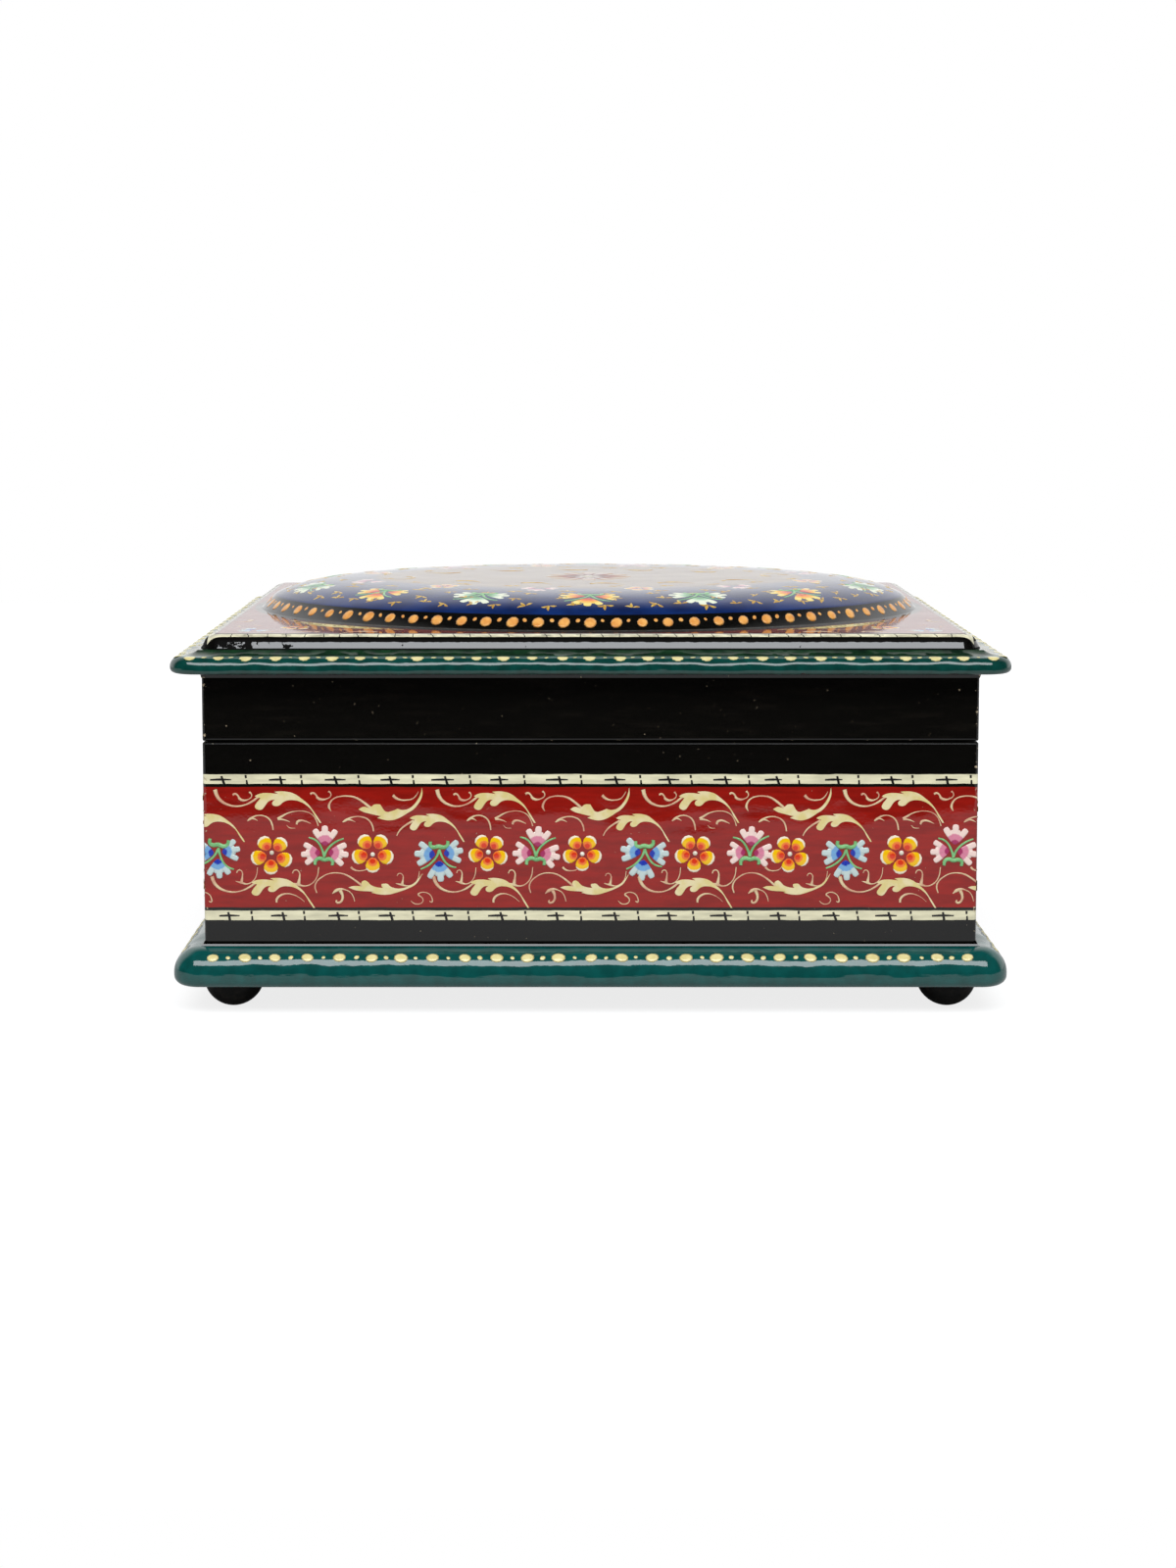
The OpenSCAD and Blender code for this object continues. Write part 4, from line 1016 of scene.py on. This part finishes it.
SPRIG = [[(0, 0, 0.16), (0.7, 1.0, 0.55), (1.0, 2.2, 0.14)],
         [(-0.2, 0, 0.16), (-1.3, 0.7, 0.5), (-2.2, 0.8, 0.12)],
         [(0.1, -0.2, 0.16), (1.5, 0.1, 0.48), (2.5, -0.3, 0.1)]]
sprigs = []
for inset_by, count, size in ((7.2, 64, 0.8), (11, 32, 0.8), (16.5, 36, 0.85), (20.5, 28, 0.9),
                              (32.5, 20, 0.9)):
    for i, (x, y, out) in enumerate(evenly(count, inset_by, 0.5)):
        sprigs += moved(SPRIG, x + rng.uniform(-0.8, 0.8), y + rng.uniform(-0.8, 0.8),
                        size * rng.uniform(0.85, 1.15), 1.0, 1 - 2 * (i % 2),
                        out - math.pi / 2 + rng.uniform(-0.5, 0.5))
for x, y, out in evenly(12, 41.0):
    sprigs += moved(SPRIG_LEAF, x, y, 0.62, 1.0, 1, out + math.pi / 2)
done(settled(brushwork("oval_sprigs", sprigs, 0.14), oval), gold_paint, "lid")

inner = evenly(12, 26.0, 0.5)
on_lid("oval_yellow_flowers", yellow_flower, [(x, y, out, 0.85) for x, y, out in inner[0::2]],
       yellow_paint, oval, CROWN_PAINT_FLAT)
on_lid("oval_pink_sprays", spray, [(x, y, out - math.pi / 2, 0.85) for x, y, out in inner[1::2]],
       pink_paint, oval, CROWN_PAINT_FLAT)
medallion = [(0, 0, math.radians(30 * k), 1.7) for k in range(12)]
long_petal = lobe(2.9, LOBE_SIZE[1])
long_petal.data.transform(Matrix.Translation((0, 1.6 * MM, 0)))
on_lid("oval_medallion", long_petal, medallion, rose_lily, oval, CROWN_PAINT_FLAT)
bpy.data.objects.remove(long_petal)
on_lid("oval_flower_eyes", flower_eye, [(x, y, 0, 1) for x, y, out in inner[0::2]]
       + [(0, 0, 0, 2.2)], white_paint, oval, 2 * CROWN_PAINT_FLAT)

# ---- Corners of the lid panel ----
# Between the oval's black ring and the cream border, each corner of the red field has a pale
# crescent that follows the ring, a flower, a blue spray toward the corner and cream scrolls.
CRESCENT_CREAM, CRESCENT_SHADE = "#e3d79a", "#b9a257"
UMBER, UMBER_DEEP = "#7c5a2a", "#4d4a24"
CRESCENT_AT = (34, 60)             # where it starts and ends round the ring, degrees
CORNER_FLOWER = (73.5, 53.5)
CORNER_SPRAY = (83.0, 58.5)
CORNER_SCROLLS = (
    (SPRIG_LEAF, 52.0, 61.8, 0.62, 1.0, -1, 0.0), (SPRIG_LEAF, 66.5, 61.5, 0.5, 1.0, -1, 0.1),
    (SPRIG_LEAF, 86.5, 35.5, 0.5, 1.0, 1, math.radians(76)), (HOOK, 64.0, 57.0, 0.6, 1.0, 1, 0.4),
    (LASH, 78.0, 61.8, 0.8, 1.0, 1, 0.0), (LASH, 88.5, 50.0, 0.8, 1.0, 1, math.radians(90)),
    (HOOK, 84.0, 46.5, 0.55, 1.0, 1, math.radians(-40)))
corner_signs = ((1, 1), (-1, 1), (-1, -1), (1, -1))


def in_corners(strokes):
    """Strokes drawn for the right back corner, repeated in all four corners."""
    return [[(sx * x, sy * y, half) for x, y, half in stroke]
            for sx, sy in corner_signs for stroke in strokes]


def by_ring(share, out_by):
    """A place beside the ring, at a share of the crescent: its angle, x and y."""
    t = math.radians(CRESCENT_AT[0] + (CRESCENT_AT[1] - CRESCENT_AT[0]) * share)
    return t, (RING[0] + out_by) * math.cos(t), (RING[1] + out_by) * math.sin(t)


crescent = [[(*by_ring(first + (last - first) * k / 8, out_by)[1:],
              half * max(math.sin(math.pi * k / 8), 0.12)) for k in range(9)]
            for out_by, half, first, last in ((2.0, 1.25, 0, 1), (3.6, 0.8, 0.12, 0.88),
                                              (4.8, 0.5, 0.25, 0.75))]
crescent_paint = gouache("crescent_gouache", ((0.42, CRESCENT_SHADE), (0.55, CRESCENT_CREAM)),
                         0.9)
scrolls = [s for scroll in CORNER_SCROLLS for s in moved(*scroll)]
veins = []
for k in range(7):
    t, x, y = by_ring((k + 1) / 8, 2.2)
    veins += moved([[(0, 0, 0.1), (0.5, 0.9, 0.26), (0.2, 2.2, 0.08)],
                    [(0, 0, 0.1), (-0.9, 0.5, 0.22), (-1.5, 1.2, 0.08)]], x, y, 0.9, 1.0, 1,
                   t - math.pi / 2)
vein_paint = gouache("umber_gouache", ((0.4, UMBER_DEEP), (0.6, UMBER)))
panel = nodes["lid_panel"]
for name, drawn, flatness, material in (("panel_crescents", crescent, 0.1, crescent_paint),
                                        ("panel_scrolls", scrolls, 0.1, scroll_paint),
                                        ("panel_crescent_veins", veins, 0.55, vein_paint)):
    done(settled(brushwork(name, in_corners(drawn), flatness), panel), material, "lid")
on_lid("panel_yellow_flowers", yellow_flower, [
    (sx * CORNER_FLOWER[0], sy * CORNER_FLOWER[1], 0.3 * sx, 0.75) for sx, sy in corner_signs],
    yellow_paint, panel)
on_lid("panel_blue_sprays", spray, [
    (sx * CORNER_SPRAY[0], sy * CORNER_SPRAY[1], math.atan2(sy, sx) - math.pi / 2, 0.72)
    for sx, sy in corner_signs], blue_paint, panel)
on_lid("panel_flower_eyes", flower_eye, [
    (sx * CORNER_FLOWER[0], sy * CORNER_FLOWER[1], 0, 0.8) for sx, sy in corner_signs],
    white_paint, panel)
for model in (yellow_flower, flower_eye, spray, stalks):
    bpy.data.objects.remove(model)

# ---- Ticks on the panel's border ----
# Thin black bars, set across the cream border of the panel by eye.
PANEL_TICK_PITCH = 4.5
PANEL_BARE_END = 5                 # what the ticks leave free at each end of a side, mm


def panel_ticks(side, width, out_to):
    """One side's ticks, on the canvas."""
    middle = -out_to + (PANEL_BORDER[0] + PANEL_BORDER[1]) / 2
    length = width - 2 * PANEL_BARE_END
    count = round(length / PANEL_TICK_PITCH)
    strokes = []
    for i in range(count):
        x = (i + 0.5) * length / count - length / 2 + rng.uniform(-0.6, 0.6)
        lean = rng.uniform(-0.1, 0.4)
        strokes.append([(x - lean, middle + 0.65, 0.15), (x, middle, 0.1),
                        (x + lean, middle - 0.7, 0.16)])
        if i % 2:
            strokes.append([(x - 1.1, middle + 0.1, 0.13), (x + 1.2, middle, 0.1)])
    return brushwork("panel_ticks", strokes, 0.3)


border_ticks = around("panel_border_ticks", panel_ticks, ((panel_w, panel_d / 2),
                                                          (panel_d, panel_w / 2)))
done(settled(border_ticks, panel), tick_paint, "lid")

# ---- Hinges, screws and nails ----
# Two drawn brass butt hinges and their brass screws, dulled by handling; wrought steel pins and
# beech dowels, which show only where the box is open or taken apart.
BRASS, BRASS_DULL = "#c49a4a", "#7d5d2a"
STEEL, STEEL_DULL = "#8e8c88", "#4e4a45"
BEECH, BEECH_DARK = "#cfa67a", "#a97b50"


def metal(name, bright, dull, roughness):
    """Bare metal, dulled in clouds and brushed along its length."""
    material, tree, shader, place = varnished(name)
    shader.inputs["Coat Weight"].default_value = 0
    shader.inputs["Metallic"].default_value = 1
    shader.inputs["Specular IOR Level"].default_value = 0.5
    clouds = node(tree, "TexNoise", {"Vector": place, "Scale": 0.4, "Detail": 6.0})
    layered(tree, shader, node(tree, "ValToRGB", {"Fac": clouds},
                               stops=((0.38, dull), (0.6, bright))))
    rough = node(tree, "MapRange", {"Value": clouds, "From Min": 0.3, "From Max": 0.7,
                                    "To Min": roughness + 0.25, "To Max": roughness})
    tree.links.new(rough, shader.inputs["Roughness"])
    uneven(tree, shader, place, ((0.3, 3, 3), 2.0, 0.01, 3.0))
    return material


dress(metal("drawn_brass", BRASS, BRASS_DULL, 0.25),
      "left_hinge_box_leaf", "right_hinge_box_leaf", "left_hinge_lid_leaf",
      "right_hinge_lid_leaf", "left_hinge_pin", "right_hinge_pin", "hinge_box_screws",
      "hinge_lid_screws")
dress(metal("wrought_steel", STEEL, STEEL_DULL, 0.4),
      "wall_nails", "base_nails", "rim_nails", "lid_nails")

beech, tree, shader, place = varnished("bare_beech")
shader.inputs["Coat Weight"].default_value = 0
layered(tree, shader, shaded(tree, place, 1.2, 5.0, ((0.35, BEECH_DARK), (0.65, BEECH)),
                             (2.0, 2.0, 0.15)))
dress(beech, "foot_dowels")

# ---- Studio ----
# A white sweep under and behind the box, which ends just in front of it, and one wide softbox
# above the camera. The room in front is dark, which keeps the lacquer's blacks deep.
FLOOR_FRONT, FLOOR_BACK, FLOOR_SIDE = -0.315, 0.9, 0.9
PAPER = "#cbcbcb"
PAPER_SEEN = "#999999"             # its colour for the camera, which also sees its glow
FLOOR_GLOW = 0.81
GLOW_FADES_IN = (0.17, 0.27)       # how far from the box its glow turns to plain white, metres
FLOOR_MIRRORED = 0.04
KEY_ELEVATION = math.radians(48)
KEY_DISTANCE, KEY_AIM = 1.1, 0.05  # from the height that it is aimed at, metres
KEY_SIZE = (1.3, 0.45)
KEY_RADIANCE = 5.9
KEY_COLOUR = (0.97, 1.0, 1.04)
FILL = 0.45
SWEEP_BEHIND, SWEEP_LOW = (0.1, 0.35), (0.9, 0.66)  # which ways the lacquer mirrors it


def in_mirrors(tree, share):
    """What a ray may be, as a light path's outputs, and the share, but only in mirrors."""
    path = node(tree, "LightPath", {}).node.outputs
    mirrored = node(tree, "Math", {0: path["Is Glossy Ray"], 1: path["Is Transmission Ray"]},
                    operation="MAXIMUM")
    return path, node(tree, "Math", {0: mirrored, 1: share}, operation="MULTIPLY")


bpy.ops.mesh.primitive_plane_add(size=1)
floor = bpy.context.object
floor.name = "white_sweep"
floor.data.transform(
    Matrix.Translation((0, (FLOOR_FRONT + FLOOR_BACK) / 2, 0))
    @ Matrix.Diagonal((2 * FLOOR_SIDE, FLOOR_BACK - FLOOR_FRONT, 1, 1)))
white_paper = bpy.data.materials.new("white_paper")
white_paper.use_nodes = True
tree = white_paper.node_tree
paper = tree.nodes["Principled BSDF"]
paper.inputs["Roughness"].default_value = 0.9
paper.inputs["Specular IOR Level"].default_value = 0.0
path, mirrored = in_mirrors(tree, FLOOR_MIRRORED)
layered(tree, paper, PAPER, (path["Is Camera Ray"], PAPER_SEEN))
on_floor = node(tree, "TexCoord", {}).node.outputs["Object"]
away = node(tree, "VectorMath", {0: on_floor}, operation="LENGTH")
glow = node(tree, "MapRange", {"Value": away, "From Min": GLOW_FADES_IN[0],
                               "From Max": GLOW_FADES_IN[1], "To Min": FLOOR_GLOW, "To Max": 1.0})
glow = node(tree, "Math", {0: path["Is Camera Ray"], 1: glow, 2: mirrored},
            operation="MULTIPLY_ADD")
paper.inputs["Emission Color"].default_value = (1, 1, 1, 1)
tree.links.new(glow, paper.inputs["Emission Strength"])
floor.data.materials.append(white_paper)

bpy.ops.object.light_add(type="AREA", location=(
    0, -KEY_DISTANCE * math.cos(KEY_ELEVATION),
    KEY_AIM + KEY_DISTANCE * math.sin(KEY_ELEVATION)),
    rotation=(math.pi / 2 - KEY_ELEVATION, 0, 0))
softbox = bpy.context.object
softbox.data.shape = "RECTANGLE"
softbox.data.size, softbox.data.size_y = KEY_SIZE
softbox.data.energy = KEY_RADIANCE * math.pi * KEY_SIZE[0] * KEY_SIZE[1]
softbox.data.color = KEY_COLOUR
softbox.visible_camera = False

bpy.context.scene.view_settings.view_transform = "Standard"
world = bpy.data.worlds.new("white_room")
bpy.context.scene.world = world
world.use_nodes = True
tree = world.node_tree
tree.nodes.clear()
way = node(tree, "SeparateXYZ", {"Vector": node(tree, "TexCoord", {})}).node.outputs
behind = node(tree, "MapRange", {"Value": way["Y"], "From Min": SWEEP_BEHIND[0],
                                 "From Max": SWEEP_BEHIND[1]})
low = node(tree, "MapRange", {"Value": way["Z"], "From Min": SWEEP_LOW[0],
                              "From Max": SWEEP_LOW[1]})
sweep = node(tree, "Math", {0: behind, 1: low}, operation="MULTIPLY")
path, mirrored = in_mirrors(tree, sweep)
dark_fill = node(tree, "Math", {0: path["Is Diffuse Ray"], 1: FILL}, operation="MULTIPLY")
total = node(tree, "Math", {0: mirrored, 1: dark_fill}, operation="ADD")
total = node(tree, "Math", {0: total, 1: path["Is Camera Ray"]}, operation="MAXIMUM")
light = node(tree, "Background", {"Color": (1, 1, 1, 1), "Strength": total})
node(tree, "OutputWorld", {"Surface": light})
